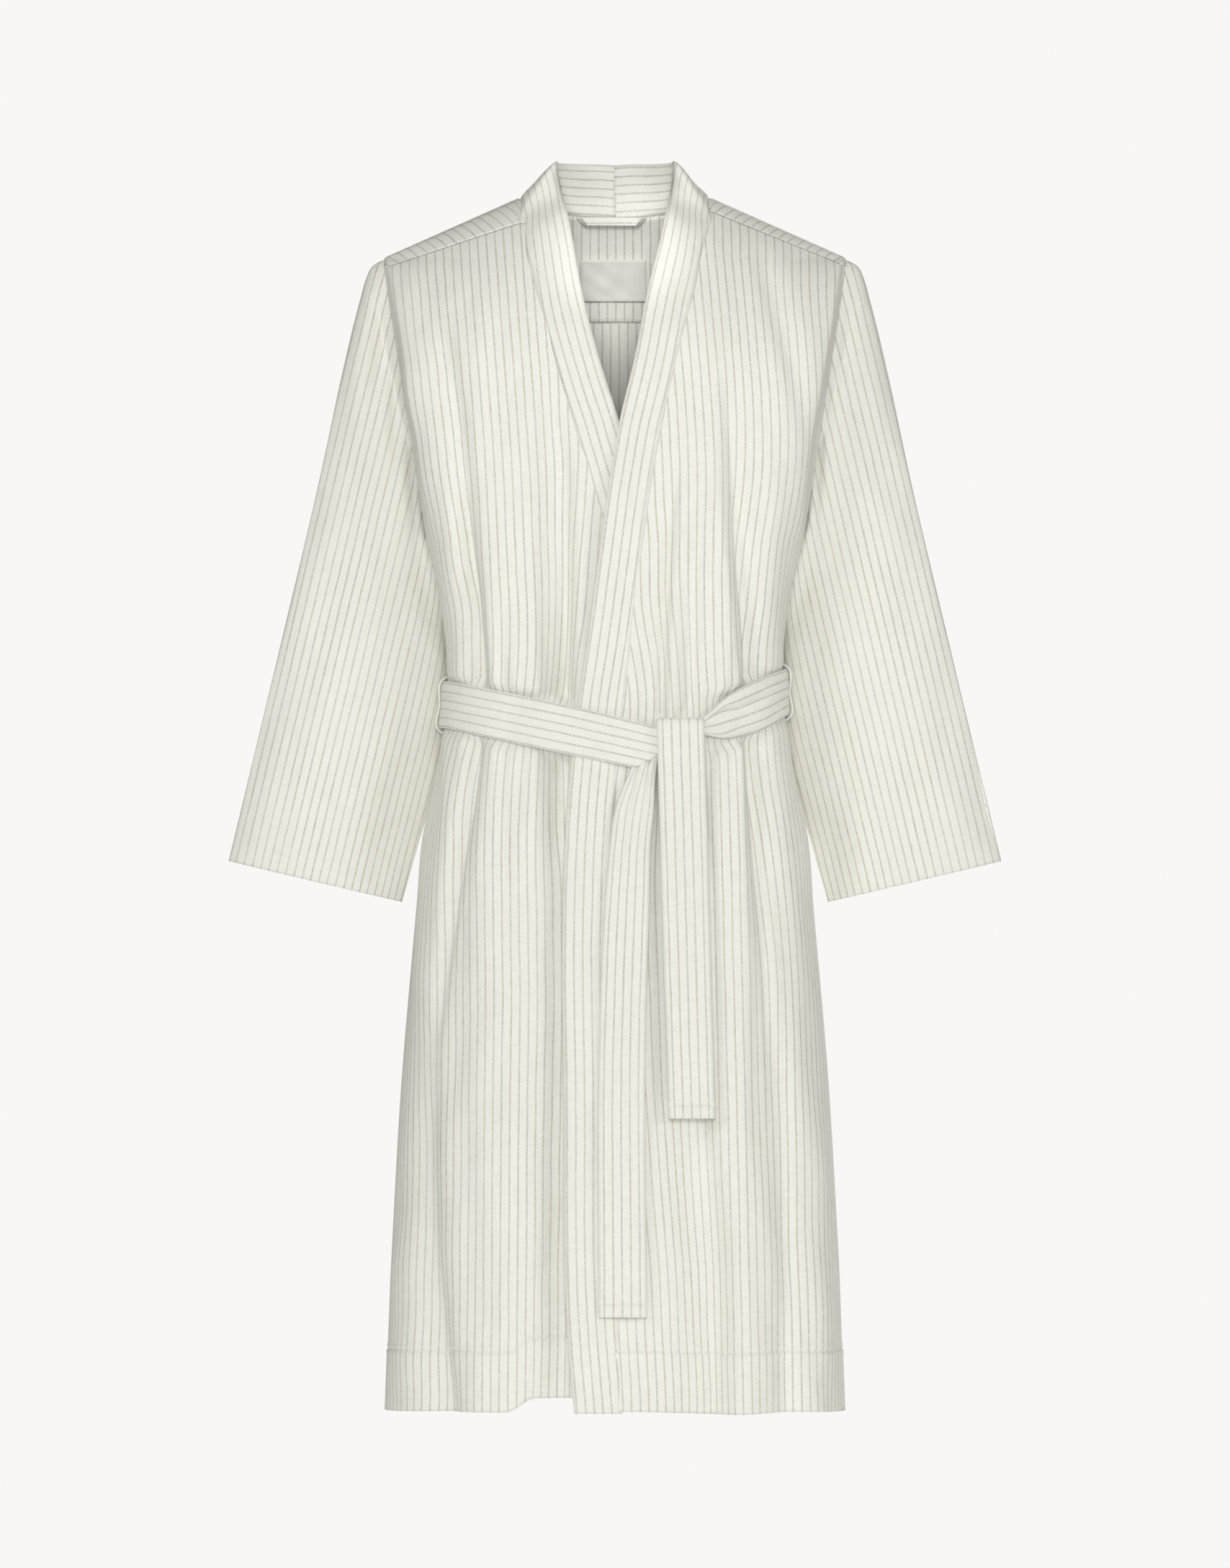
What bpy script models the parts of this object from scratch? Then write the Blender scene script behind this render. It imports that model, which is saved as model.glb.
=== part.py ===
"""Kimono bathrobe, hung upright with its belt tied once at the front.

Metres, +Z up, the front faces -Y and x = 0 is the centre back. The origin is where the
hanger loop is sewn into the back neck seam. Left and right are the wearer's, so the left
front, which laps over the right one, lies at +X. Every cloth piece is a sheet of points
over its outer face, thickened inwards.
"""

import math

import bmesh
import bpy
from mathutils import Vector

# Lengths, all measured from the back neck seam.
HEM_Z = -1.103
UNDERARM_Z = -0.300
WAIST_Z = -0.450
NECK_POINT = (0.0895, 0.014)
SHOULDER_TIP = (0.2175, -0.043)
SIDE_Y = -0.060

# Cloth thicknesses, and how far neighbouring layers stand apart.
CLOTH = 0.0015
DOUBLE_CLOTH = 0.0022
SEAM_GAP = 0.0012
INSIDE = CLOTH + 0.0008
FACING_INSIDE = CLOTH + 0.0044
OVERLAP_PROUD = 0.005
BELT_PROUD = 0.0046

# Piece sizes.
HEM_DEPTH = 0.056
CUFF_HEM_DEPTH = 0.055
BELT_WIDTH = 0.0435
TAIL_HEM = 0.013
ARMHOLE_HALF_DEPTH = 0.045
CUFF_HALF_WIDTH = 0.0817
CUFF_HALF_DEPTH = 0.034
CUFF_CENTRE = (0.2768, -0.6166)
SLEEVE_TILT = math.radians(13.3)
SHOULDER_ROUNDING = 0.16
SECTION_POWER = 2.4
UNDERLAP_RISE = 0.013

# The body's form: height, half width, depth to the front and depth to the back.
FORM = (
    (HEM_Z, 0.211, 0.122, 0.112),
    (-0.850, 0.200, 0.116, 0.108),
    (-0.640, 0.183, 0.108, 0.100),
    (-0.520, 0.161, 0.097, 0.088),
    (WAIST_Z, 0.151, 0.092, 0.080),
    (-0.380, 0.154, 0.098, 0.086),
    (UNDERARM_Z, 0.163, 0.106, 0.094),
    (-0.150, 0.195, 0.099, 0.096),
    (0.0, 0.2175, 0.090, 0.090),
    (0.060, 0.2175, 0.090, 0.090),
)
# The neckband's two edges down each front: height and x.
LEFT_SEAM = (
    (HEM_Z, 0.007),
    (-0.60, -0.006),
    (-0.45, 0.009),
    (-0.20, 0.0424),
    (-0.083, 0.0723),
    (-0.023, 0.0842),
    (0.014, 0.0895),
)
LEFT_EDGE = (
    (HEM_Z, -0.038),
    (-0.80, -0.048),
    (-0.60, -0.047),
    (-0.45, -0.033),
    (-0.195, 0.005),
    (-0.135, 0.0186),
    (-0.048, 0.0358),
    (0.004, 0.0464),
    (0.036, 0.0540),
)
RIGHT_SEAM = (
    (HEM_Z, 0.034),
    (-0.45, 0.030),
    (-0.29, -0.0113),
    (-0.20, -0.0365),
    (-0.135, -0.0557),
    (-0.064, -0.0756),
    (-0.018, -0.0875),
    (0.014, -0.0895),
)
RIGHT_EDGE = (
    (HEM_Z, 0.076),
    (-0.45, 0.072),
    (-0.285, 0.030),
    (-0.195, 0.0053),
    (-0.135, -0.0152),
    (-0.078, -0.0290),
    (-0.039, -0.0400),
    (0.004, -0.0484),
    (0.036, -0.0545),
)
# Round the back of the neck: the seam's x and the free edge's x.
NECK_BACK = (
    (0.0740, 0.0500),
    (0.0500, 0.0360),
    (0.0270, 0.0210),
    (0.0100, 0.0080),
    (SEAM_GAP / 2, SEAM_GAP / 2),
)
NECK_TOP = 0.0470

BACK_COLUMNS = 22
FRONT_COLUMNS = 12
LOWER_HEIGHTS = (HEM_Z, -1.0, -0.88, -0.76, -0.65, -0.56, -0.50, WAIST_Z, -0.40, -0.35, UNDERARM_Z)
UPPER_ROWS = 9
SLEEVE_COLUMNS = 24
SLEEVE_ROWS = 7
BELT_COLUMNS = 44


def smoothstep(low, high, value):
    t = min(1.0, max(0.0, (value - low) / (high - low)))
    return t * t * (3 - 2 * t)


def through(table, at, item=1):
    """A smooth curve through a table's rows, read at one value of the first column."""
    rows = sorted(table)
    at = min(max(at, rows[0][0]), rows[-1][0])
    i = max(k for k in range(len(rows) - 1) if rows[k][0] <= at)
    low, high = rows[i], rows[i + 1]
    before, after = rows[max(i - 1, 0)], rows[min(i + 2, len(rows) - 1)]
    span = high[0] - low[0]
    t = (at - low[0]) / span
    slope_low = (high[item] - before[item]) / (high[0] - before[0]) * span
    slope_high = (after[item] - low[item]) / (after[0] - low[0]) * span
    return (
        low[item] * (1 + 2 * t) * (1 - t) ** 2
        + slope_low * t * (1 - t) ** 2
        + high[item] * t * t * (3 - 2 * t)
        + slope_high * t * t * (t - 1)
    )


def ridge_z(x):
    """Height of the shoulder line over x, carried on smoothly across the neck."""
    slope = (NECK_POINT[1] - SHOULDER_TIP[1]) / (SHOULDER_TIP[0] - NECK_POINT[0])
    if abs(x) > NECK_POINT[0]:
        return NECK_POINT[1] - (abs(x) - NECK_POINT[0]) * slope
    return NECK_POINT[1] + slope * (NECK_POINT[0] ** 2 - x**2) / (2 * NECK_POINT[0])


def rounding(drop):
    """How far the cloth has come round the shoulder, 0 to 1, at a drop below its line."""
    t = min(1.0, max(0.0, drop / SHOULDER_ROUNDING))
    return 0.5 * math.sqrt(1 - (1 - t) ** 2) + 0.5 * (1 - (1 - t) ** 2.2)


def armhole_depth(z):
    """How far the armhole's edge stands in front of and behind the side seam."""
    share = (z - UNDERARM_Z) / (SHOULDER_TIP[1] - UNDERARM_Z)
    share = min(1.0, max(0.0, share))
    return ARMHOLE_HALF_DEPTH * math.sqrt(max(0.0, 1 - (2 * share - 1) ** 2))


def half_width(z):
    """The body's half width: the form below the underarm, the armhole line above it."""
    if z <= UNDERARM_Z:
        return through(FORM, z, 1)
    share = min(1.0, (z - UNDERARM_Z) / (SHOULDER_TIP[1] - UNDERARM_Z))
    width = through(FORM, UNDERARM_Z, 1)
    return width + (SHOULDER_TIP[0] - width) * share


def body_y(x, z, side, proud=0.0, edge=None):
    """Depth of the front (side -1) or back (side 1) of the body's form at x and z."""
    wide = (half_width(z) if edge is None else edge) + proud
    share = min(1.0, abs(x) / wide)
    flat = (1 - share**SECTION_POWER) ** (1 / SECTION_POWER)
    deep = through(FORM, z, 2 if side < 0 else 3) + proud
    deep *= rounding(ridge_z(x) + proud - z)
    return SIDE_Y + side * (flat * deep + (1 - flat) * (armhole_depth(z) + SEAM_GAP / 2))


def overlap_proud(x, z=WAIST_Z):
    """How far the left front stands off the form where it laps over the right front."""
    across = smoothstep(0.135, 0.080, x) * smoothstep(-0.100, -0.055, x)
    return OVERLAP_PROUD * across * smoothstep(-0.050, -0.150, z)


def cloth(name, rows, material, thickness=CLOTH, closed=False):
    """A sheet of cloth from rows of points over its outer face. None leaves a gap."""
    width = len(rows[0])
    mesh = bmesh.new()
    points = [[p and mesh.verts.new(p) for p in row] for row in rows]
    for low, high in zip(points, points[1:]):
        for c in range(width if closed else width - 1):
            corners = [low[c], low[(c + 1) % width], high[(c + 1) % width], high[c]]
            if all(corners):
                mesh.faces.new(corners)
    loose = [v for v in mesh.verts if not v.link_faces]
    bmesh.ops.delete(mesh, geom=loose, context="VERTS")
    data = bpy.data.meshes.new(name)
    mesh.to_mesh(data)
    mesh.free()
    data.shade_smooth()
    data.materials.append(material)
    piece = bpy.data.objects.new(name, data)
    bpy.context.scene.collection.objects.link(piece)
    solid = piece.modifiers.new("Cloth thickness", "SOLIDIFY")
    solid.thickness = thickness
    solid.offset = -1
    return piece


def fabric(name, colour, roughness=0.9):
    material = bpy.data.materials.new(name)
    material.use_nodes = True
    shader = material.node_tree.nodes["Principled BSDF"]
    shader.inputs["Base Color"].default_value = (*colour, 1.0)
    shader.inputs["Roughness"].default_value = roughness
    shader.inputs["Metallic"].default_value = 0.0
    return material


def steps(low, high, count):
    return [low + (high - low) * k / count for k in range(count + 1)]


def row_levels(top_z):
    """(height for a column, share of the way up the armhole) of each row, hem to top."""
    levels = [(z, 0.0) for z in LOWER_HEIGHTS]
    for t in steps(0.0, 1.0, UPPER_ROWS)[1:]:
        share = 1 - (1 - t) ** 1.5
        levels.append((UNDERARM_Z + (top_z - UNDERARM_Z) * share, share))
    return levels


def edge_width(level):
    """Half width of a row: the form's below the underarm, the armhole's above it."""
    z, share = level
    if share == 0.0:
        return half_width(z)
    low = half_width(UNDERARM_Z)
    return low + (SHOULDER_TIP[0] - low) * share


def shoulder_seam_z(x):
    """The shoulder seam lies on the front, lower than the shoulder line."""
    x = max(abs(x), NECK_POINT[0])
    share = (x - NECK_POINT[0]) / (SHOULDER_TIP[0] - NECK_POINT[0])
    return ridge_z(x) - (0.019 - 0.011 * share)


def neckline_z(x):
    """Height of the back neck seam over x."""
    return NECK_POINT[1] * (x / NECK_POINT[0]) ** 2


def back_panel_rows():
    """Rows of the back panel from hem to neck, and over the shoulders onto the front."""
    neck_angle = math.asin(NECK_POINT[0] / SHOULDER_TIP[0])
    outer = steps(math.pi / 2, neck_angle, BACK_COLUMNS * 4 // 11)
    middle = steps(neck_angle, -neck_angle, BACK_COLUMNS * 3 // 11)
    angles = outer + middle[1:] + [-a for a in reversed(outer)][1:]
    rows = []
    for r in range(len(LOWER_HEIGHTS) + UPPER_ROWS):
        row = []
        for angle in angles:
            top_x = SHOULDER_TIP[0] * math.sin(angle)
            top_z = min(ridge_z(top_x), neckline_z(top_x))
            level = row_levels(top_z)[r]
            wide = edge_width(level)
            x = wide * math.sin(angle)
            row.append((x, body_y(x, level[0], 1, edge=wide), level[0]))
        rows.append(row)
    for down in (0.35, 0.7, 1.0):
        row = []
        for angle in angles:
            x = SHOULDER_TIP[0] * math.sin(angle)
            if abs(angle) < neck_angle - 1e-6:
                row.append(None)
                continue
            z = ridge_z(x) + (shoulder_seam_z(x) - ridge_z(x)) * down
            row.append((x, body_y(x, z, -1, edge=SHOULDER_TIP[0]), z))
        rows.append(row)
    return rows


def front_panel_rows(side, seam):
    """Rows of a front panel from its neckband seam to its side seam and armhole."""
    rows = []
    for r in range(len(LOWER_HEIGHTS) + UPPER_ROWS):
        edge_level = row_levels(shoulder_seam_z(NECK_POINT[0]))[r]
        wide = edge_width(edge_level)
        seam_x = through(seam, edge_level[0]) + side * SEAM_GAP
        first = math.asin(max(-1.0, min(1.0, seam_x / wide)))
        row = []
        for angle in steps(first, side * math.pi / 2, FRONT_COLUMNS):
            top_x = SHOULDER_TIP[0] * math.sin(angle)
            top_z = shoulder_seam_z(top_x) - SEAM_GAP
            z, share = row_levels(top_z)[r]
            if side < 0:
                rise = UNDERLAP_RISE * smoothstep(-0.140, -0.100, wide * math.sin(angle))
                z += rise * smoothstep(-0.8, HEM_Z, z)
            x = wide * math.sin(angle)
            lift = overlap_proud(x, z) if side > 0 else 0.0
            y = body_y(x, z, -1, proud=lift, edge=wide - lift)
            row.append((x, y, z))
        rows.append(row if side > 0 else row[::-1])
    return rows


def turned_hem(rows, depth, inwards):
    """The turned-up inner layer of a hem: the bottom of a piece, moved inside it."""
    low, high = rows[0], rows[1]
    inner = []
    for share in (0.0, 0.5, 1.0):
        row = []
        for p, q in zip(low, high):
            height = q[2] - p[2]
            t = (0.002 + (depth - 0.002) * share) / height
            row.append(Vector(p).lerp(Vector(q), t))
        inner.append(inset(row, inwards))
    return inner


def neckband_rows(side, seam, edge, overlap):
    """Rows up one front and round the neck to the centre back, free edge to seam."""
    rows = []
    for z, _ in row_levels(shoulder_seam_z(0.0) - SEAM_GAP):
        free_x = through(edge, z + smoothstep(-0.20, 0.0, z) * 0.024)
        free_z = z + smoothstep(-0.20, 0.0, z) * 0.024
        rise = UNDERLAP_RISE * smoothstep(-0.8, HEM_Z, z) if side < 0 else 0.0
        row = []
        for share in (0.0, 0.5, 1.0):
            x = free_x + (through(seam, z) - free_x) * share
            height = free_z + (z - free_z) * share + rise
            lift = overlap_proud(x, height) if overlap else 0.0
            row.append((x, body_y(x, height, -1, proud=lift), height))
        rows.append(row)
    for seam_point, free_point in neck_ring():
        middle = [(a + b) / 2 for a, b in zip(free_point, seam_point)]
        rows.append([(side * p[0], p[1], p[2]) for p in (free_point, middle, seam_point)])
    return rows if side > 0 else [row[::-1] for row in rows]


def neck_ring():
    """Seam point and free edge point of the neckband, shoulder seam to centre back."""
    ring = []
    for z, free_y in ((0.006, -0.072), (0.0135, -0.056)):
        seam_x = NECK_POINT[0] - SEAM_GAP
        seam_y = body_y(NECK_POINT[0], z, -1, edge=SHOULDER_TIP[0])
        ring.append(((seam_x, seam_y, z + 0.001), (0.0575, free_y, 0.0455)))
    for seam_x, free_x in NECK_BACK:
        z = neckline_z(seam_x)
        seam_y = body_y(seam_x, z, 1, edge=SHOULDER_TIP[0])
        ring.append(((seam_x, seam_y, z + SEAM_GAP), (free_x, seam_y + 0.001, NECK_TOP)))
    return ring


def sleeve_rows(side, inwards=0.0, start=0.0):
    """Rings from the armhole to the cuff. The first point of a ring is its outer fold."""
    outward = Vector((-math.cos(SLEEVE_TILT), 0, -math.sin(SLEEVE_TILT)))
    down = Vector((-math.sin(SLEEVE_TILT), 0, -math.cos(SLEEVE_TILT)))
    under = Vector((0.05, 0, -1))
    across = Vector((math.cos(SLEEVE_TILT), 0, -math.sin(SLEEVE_TILT)))
    centre = Vector((-CUFF_CENTRE[0], SIDE_Y, CUFF_CENTRE[1]))
    tip = Vector((-SHOULDER_TIP[0] - 0.0022, SIDE_Y, SHOULDER_TIP[1] - 0.004))
    underarm = Vector((-half_width(UNDERARM_Z) - 0.0035, SIDE_Y, UNDERARM_Z - 0.003))
    rings = []
    for t in steps(start, 1.0, SLEEVE_ROWS if start == 0.0 else 2):
        ring = []
        for k in range(SLEEVE_COLUMNS):
            angle = 2 * math.pi * k / SLEEVE_COLUMNS
            share = (1 - math.cos(angle)) / 2
            reach = Vector((0, -math.sin(angle), 0))
            begin = tip.lerp(underarm, share) + reach * ARMHOLE_HALF_DEPTH
            wide = CUFF_HALF_WIDTH - inwards
            deep = CUFF_HALF_DEPTH - inwards
            end = centre - across * math.cos(angle) * wide + reach * deep
            lead = outward.lerp(under, share * (2 - share)).normalized()
            first = begin + lead * (0.035 + 0.085 * share)
            last = end - down * (0.30 - 0.15 * share)
            point = (
                begin * (1 - t) ** 3
                + first * 3 * t * (1 - t) ** 2
                + last * 3 * t * t * (1 - t)
                + end * t**3
            )
            ring.append((-side * point.x, point.y, point.z))
        rings.append(ring)
    if side > 0:
        return [ring[::-1] for ring in rings]
    return rings


def inset(row, inwards):
    """A row of points moved level towards the body's middle."""
    moved = []
    for p in row:
        out = Vector((p[0], p[1] - SIDE_Y, 0.0)).normalized()
        moved.append(Vector(p) - out * inwards)
    return moved


def side_seam_rows(panel_rows, side):
    """The seam allowance inside a side seam, pressed towards the back panel."""
    rows = []
    for row in panel_rows[1 : len(LOWER_HEIGHTS) - 1]:
        first, second = (row[0], row[1]) if side > 0 else (row[-1], row[-2])
        ends = [Vector(first).lerp(Vector(second), share) for share in (0.06, 0.36, 0.66)]
        rows.append(inset(ends if side > 0 else ends[::-1], INSIDE))
    return rows


def shoulder_seam_rows(side):
    """The seam allowance inside a shoulder seam, pressed down inside the front."""
    rows = []
    for drop in (0.0125, 0.0070, 0.0015):
        row = []
        for x in steps(NECK_POINT[0] + 0.012, SHOULDER_TIP[0] - 0.014, 6):
            z = shoulder_seam_z(x) - drop
            row.append((side * x, body_y(x, z, -1, edge=SHOULDER_TIP[0]) + 0.0042, z))
        rows.append(row if side > 0 else row[::-1])
    return rows


def facing_rows():
    """The back neck facing, laid inside the back panel, with rounded lower corners."""
    rows = []
    half, deep, corner = 0.066, 0.100, 0.026
    for drop in (deep, deep - 0.009, deep - corner, 0.045, 0.022, 0.009):
        inset = corner - math.sqrt(max(0.0, corner**2 - max(0.0, drop - deep + corner) ** 2))
        row = []
        for share in steps(1.0, -1.0, 8):
            x = (half - inset) * share
            z = neckline_z(x) - drop
            row.append((x, body_y(x, z, 1) - FACING_INSIDE, z))
        rows.append(row)
    return rows


def label_rows():
    half, low, high = 0.0305, -0.0785, -0.0405
    rows = []
    for z in steps(low, high, 2):
        row = []
        for x in steps(half, -half, 4):
            row.append((x, body_y(x, z, 1) - FACING_INSIDE - 0.0022, z))
        rows.append(row)
    return rows


def hanger_loop_rows():
    """A narrow tape, both ends sewn into the neck seam, that stands off the facing."""
    half, width = 0.034, 0.0075
    top, bottom = [], []
    for share in steps(1.0, -1.0, 12):
        x = half * share
        hang = smoothstep(1.0, 0.76, abs(share))
        face = body_y(x, -0.003, 1) - FACING_INSIDE
        y = face - 0.0030 - 0.0062 * hang
        z = -0.0030 - 0.0040 * hang
        top.append((x, y, z))
        bottom.append((x, y - 0.0006 * hang, z - width))
    return [bottom, top]


def belt_height(x, y):
    """The belt's centreline: it slopes down to the knot on its right-hand side."""
    front = smoothstep(SIDE_Y + 0.02, SIDE_Y - 0.04, y)
    left = -0.452 - 0.036 * smoothstep(-0.155, 0.045, x)
    right = -0.478 + 0.036 * smoothstep(0.070, 0.155, x)
    level = left if x < 0.058 else right
    return -0.450 + (level + 0.450) * front


KNOT_X = 0.0578
KNOT_HALF = 0.0235


def belt_rows():
    """The belt from the knot's left side, round the back, to the knot's right side."""
    rows = []
    start = math.asin((KNOT_X - KNOT_HALF - 0.002) / half_width(WAIST_Z))
    stop = math.asin((KNOT_X + KNOT_HALF + 0.002) / half_width(WAIST_Z)) - 2 * math.pi
    for angle in steps(start, stop, BELT_COLUMNS):
        side = -1 if math.cos(angle) > 0 else 1
        x = (half_width(WAIST_Z) + BELT_PROUD) * math.sin(angle)
        middle = belt_height(x, body_y(x, WAIST_Z, side, edge=half_width(WAIST_Z) + BELT_PROUD))
        row = []
        for z in (middle - BELT_WIDTH / 2, middle, middle + BELT_WIDTH / 2):
            wide = half_width(z) + BELT_PROUD
            x = wide * math.sin(angle)
            lift = BELT_PROUD + (overlap_proud(x) if side < 0 else 0.0)
            row.append((x, body_y(x, z, side, proud=lift, edge=wide - lift), z))
        rows.append(row)
    return rows


TAIL_ROUTES = {
    # height, centre x, half width and how far the cloth stands off the overlap
    "short": (
        (-0.8330, 0.0710, 0.0217, BELT_PROUD),
        (-0.7000, 0.0690, 0.0217, BELT_PROUD),
        (-0.5700, 0.0655, 0.0217, BELT_PROUD + 0.003),
        (-0.5140, 0.0580, 0.0212, BELT_PROUD + 0.010),
    ),
    "long": (
        (-1.0150, 0.0073, 0.0217, BELT_PROUD),
        (-0.9300, 0.0040, 0.0217, BELT_PROUD),
        (-0.7000, 0.0085, 0.0217, BELT_PROUD),
        (-0.5660, 0.0139, 0.0217, BELT_PROUD + 0.002),
        (-0.5170, 0.0150, 0.0090, BELT_PROUD + 0.004),
    ),
}


def tail_rows(route, low, high, count, proud=0.0):
    rows = []
    for z in steps(low, high, count):
        x, half, lift = (through(route, z, item) for item in (1, 2, 3))
        reach = lift + OVERLAP_PROUD + proud
        y = min(body_y(x - half, z, -1, reach), body_y(x + half, z, -1, reach))
        rows.append([(x - half, y, z), (x, y, z), (x + half, y, z)])
    return rows


def belt_loop_rows(side):
    """A thread loop over the belt at a side seam: up, out over the belt and back in."""
    rows = []
    out = BELT_PROUD + 0.0024
    profile = ((-0.484, 0.0016), (-0.477, out), (-0.450, out), (-0.423, out), (-0.416, 0.0016))
    for z, proud in profile:
        x = half_width(z) + proud
        half = 0.003 * side
        rows.append([(side * x, SIDE_Y - half, z), (side * x, SIDE_Y + half, z)])
    return rows


def knot(material):
    """The tied knot: one end of the belt folded over the other, a soft bevelled block."""
    low, high, deep = -0.5125, -0.4670, 0.016
    inner = body_y(KNOT_X, low, -1, proud=OVERLAP_PROUD + 0.0062)
    mesh = bmesh.new()
    bmesh.ops.create_cube(mesh, size=1.0)
    size = Vector((2 * KNOT_HALF, deep, high - low))
    bmesh.ops.scale(mesh, vec=size, verts=mesh.verts)
    bmesh.ops.bevel(mesh, geom=mesh.edges[:], offset=0.004, segments=2, affect="EDGES")
    data = bpy.data.meshes.new("belt_knot")
    mesh.to_mesh(data)
    mesh.free()
    data.shade_smooth()
    data.materials.append(material)
    piece = bpy.data.objects.new("belt_knot", data)
    bpy.context.scene.collection.objects.link(piece)
    piece.location = (KNOT_X, inner - deep / 2, (low + high) / 2)
    return piece


def build_body(ivory, inner_ivory):
    back = back_panel_rows()
    cloth("back_panel", back, ivory)
    left = front_panel_rows(1, LEFT_SEAM)
    right = front_panel_rows(-1, RIGHT_SEAM)
    cloth("left_front_panel", left, ivory)
    cloth("right_front_panel", right, ivory)
    cloth("left_front_hem", turned_hem(left[:2], HEM_DEPTH, INSIDE), inner_ivory)
    cloth("right_front_hem", turned_hem(right[:2], HEM_DEPTH, INSIDE), inner_ivory)
    cloth("back_hem", turned_hem([row[1:-1] for row in back[:2]], HEM_DEPTH, INSIDE), inner_ivory)
    for side, name in ((1, "left"), (-1, "right")):
        cloth(f"{name}_side_seam", side_seam_rows(back, side), inner_ivory, 0.001)
        cloth(f"{name}_shoulder_seam", shoulder_seam_rows(side), inner_ivory, 0.001)


def build_neck(ivory, label_white):
    left = neckband_rows(1, LEFT_SEAM, LEFT_EDGE, True)
    right = neckband_rows(-1, RIGHT_SEAM, RIGHT_EDGE, False)
    cloth("left_neckband", left, ivory, DOUBLE_CLOTH)
    cloth("right_neckband", right, ivory, DOUBLE_CLOTH)
    cloth("back_neck_facing", facing_rows(), ivory, 0.001)
    cloth("neck_label", label_rows(), label_white, 0.0008)
    cloth("hanger_loop", hanger_loop_rows(), ivory, 0.0016)


def build_sleeves(ivory, inner_ivory):
    for side, name in ((1, "left"), (-1, "right")):
        cloth(f"{name}_sleeve", sleeve_rows(side), ivory, closed=True)
        inner = sleeve_rows(side, inwards=INSIDE, start=0.90)
        cloth(f"{name}_sleeve_hem", inner, inner_ivory, closed=True)


def build_belt(ivory):
    cloth("belt_waist", belt_rows(), ivory, DOUBLE_CLOTH)
    knot(ivory)
    for name, route in TAIL_ROUTES.items():
        low, high = route[0][0], route[-1][0]
        body = tail_rows(route, low + TAIL_HEM + 0.0005, high, 9)
        cloth(f"belt_tail_{name}", body, ivory, DOUBLE_CLOTH)
        end = tail_rows(route, low, low + TAIL_HEM, 1, proud=0.0006)
        cloth(f"belt_tail_{name}_hem", end, ivory, DOUBLE_CLOTH + 0.0012)
    for side, name in ((1, "left"), (-1, "right")):
        cloth(f"{name}_belt_loop", belt_loop_rows(side), ivory, 0.0012)


def main():
    for old in list(bpy.data.objects):
        bpy.data.objects.remove(old)
    ivory = fabric("Ivory striped cotton", (0.78, 0.77, 0.71))
    inner_ivory = fabric("Ivory cotton inside", (0.70, 0.69, 0.63))
    label_white = fabric("Label tape", (0.80, 0.79, 0.72), 0.6)
    build_body(ivory, inner_ivory)
    build_neck(ivory, label_white)
    build_sleeves(ivory, inner_ivory)
    build_belt(ivory)


main()
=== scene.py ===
"""The looks of the hanging bathrobe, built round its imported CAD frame.

Metres, +Z up, the front faces -Y and x = 0 is the centre back; the origin is the back neck
seam. Every piece of cloth is a grid of points with its own flat pattern: the grain, whose
u runs across the stripes and v along them. The stripes, the weave and each sheet's cut
size all come from the grain, so they follow the cloth through its folds.
"""

import math

import bpy
import numpy as np
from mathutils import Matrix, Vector


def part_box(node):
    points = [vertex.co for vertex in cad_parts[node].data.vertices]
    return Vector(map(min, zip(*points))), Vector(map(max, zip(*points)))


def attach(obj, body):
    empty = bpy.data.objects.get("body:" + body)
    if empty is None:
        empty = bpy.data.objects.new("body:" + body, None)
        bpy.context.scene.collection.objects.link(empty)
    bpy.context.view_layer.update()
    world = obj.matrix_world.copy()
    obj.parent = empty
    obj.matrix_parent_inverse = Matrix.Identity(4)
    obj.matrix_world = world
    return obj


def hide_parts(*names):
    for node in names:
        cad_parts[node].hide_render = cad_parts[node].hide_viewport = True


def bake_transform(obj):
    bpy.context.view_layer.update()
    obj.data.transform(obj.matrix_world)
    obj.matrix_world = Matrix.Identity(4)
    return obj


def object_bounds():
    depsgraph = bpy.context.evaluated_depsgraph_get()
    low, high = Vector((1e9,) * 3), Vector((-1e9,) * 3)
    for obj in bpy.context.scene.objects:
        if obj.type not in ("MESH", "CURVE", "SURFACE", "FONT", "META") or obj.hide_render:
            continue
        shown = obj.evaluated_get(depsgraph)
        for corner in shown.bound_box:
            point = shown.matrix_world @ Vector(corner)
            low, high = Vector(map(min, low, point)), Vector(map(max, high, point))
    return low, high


# Lengths that the CAD part is built to, measured from the back neck seam. The first four
# are in millimetres, like the tables of curves below.
HEM, UNDERARM, WAIST, KNOT_TOP = -1103, -300, -450, -470.5
HEM_Z, UNDERARM_Z, WAIST_Z = (z / 1000 for z in (HEM, UNDERARM, WAIST))
NECK_POINT = (0.0895, 0.014)
SHOULDER_TIP = (0.2175, -0.043)
ARMHOLE_TOP = 0.2125
ARMHOLE_CURL = 0.0200
SIDE_Y = -0.060
SHOULDER_ROUNDING = 0.16
ARMHOLE_HALF_DEPTH = 0.045
SLEEVE_TILT = math.radians(13.3)
SIDES = ((1, "left"), (-1, "right"))
BELT_SIDE_TOP = {1: -0.4200, -1: -0.4318}
KNOT_X = 0.0598
LOOP_HALF = 0.0325

# Cloth, trims and stitches.
CLOTH = 0.0010
BAND_THICKNESS = 0.0026
BELT_WIDTH = 0.0435
BELT_THICKNESS = 0.0024
OVERLAP_PROUD = 0.0058
HEM_DEPTH = 0.056
CUFF_HEM_DEPTH = 0.054
CUFF_STITCH = 0.905
TAIL_HEM = 0.013
STRIPE_PITCH = 0.0080
STRIPE_WIDTH = 0.0016
STITCH_LENGTH = 0.0024
STITCH_GAP = 0.0012
UNDERLAP_RISE = 0.013

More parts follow.
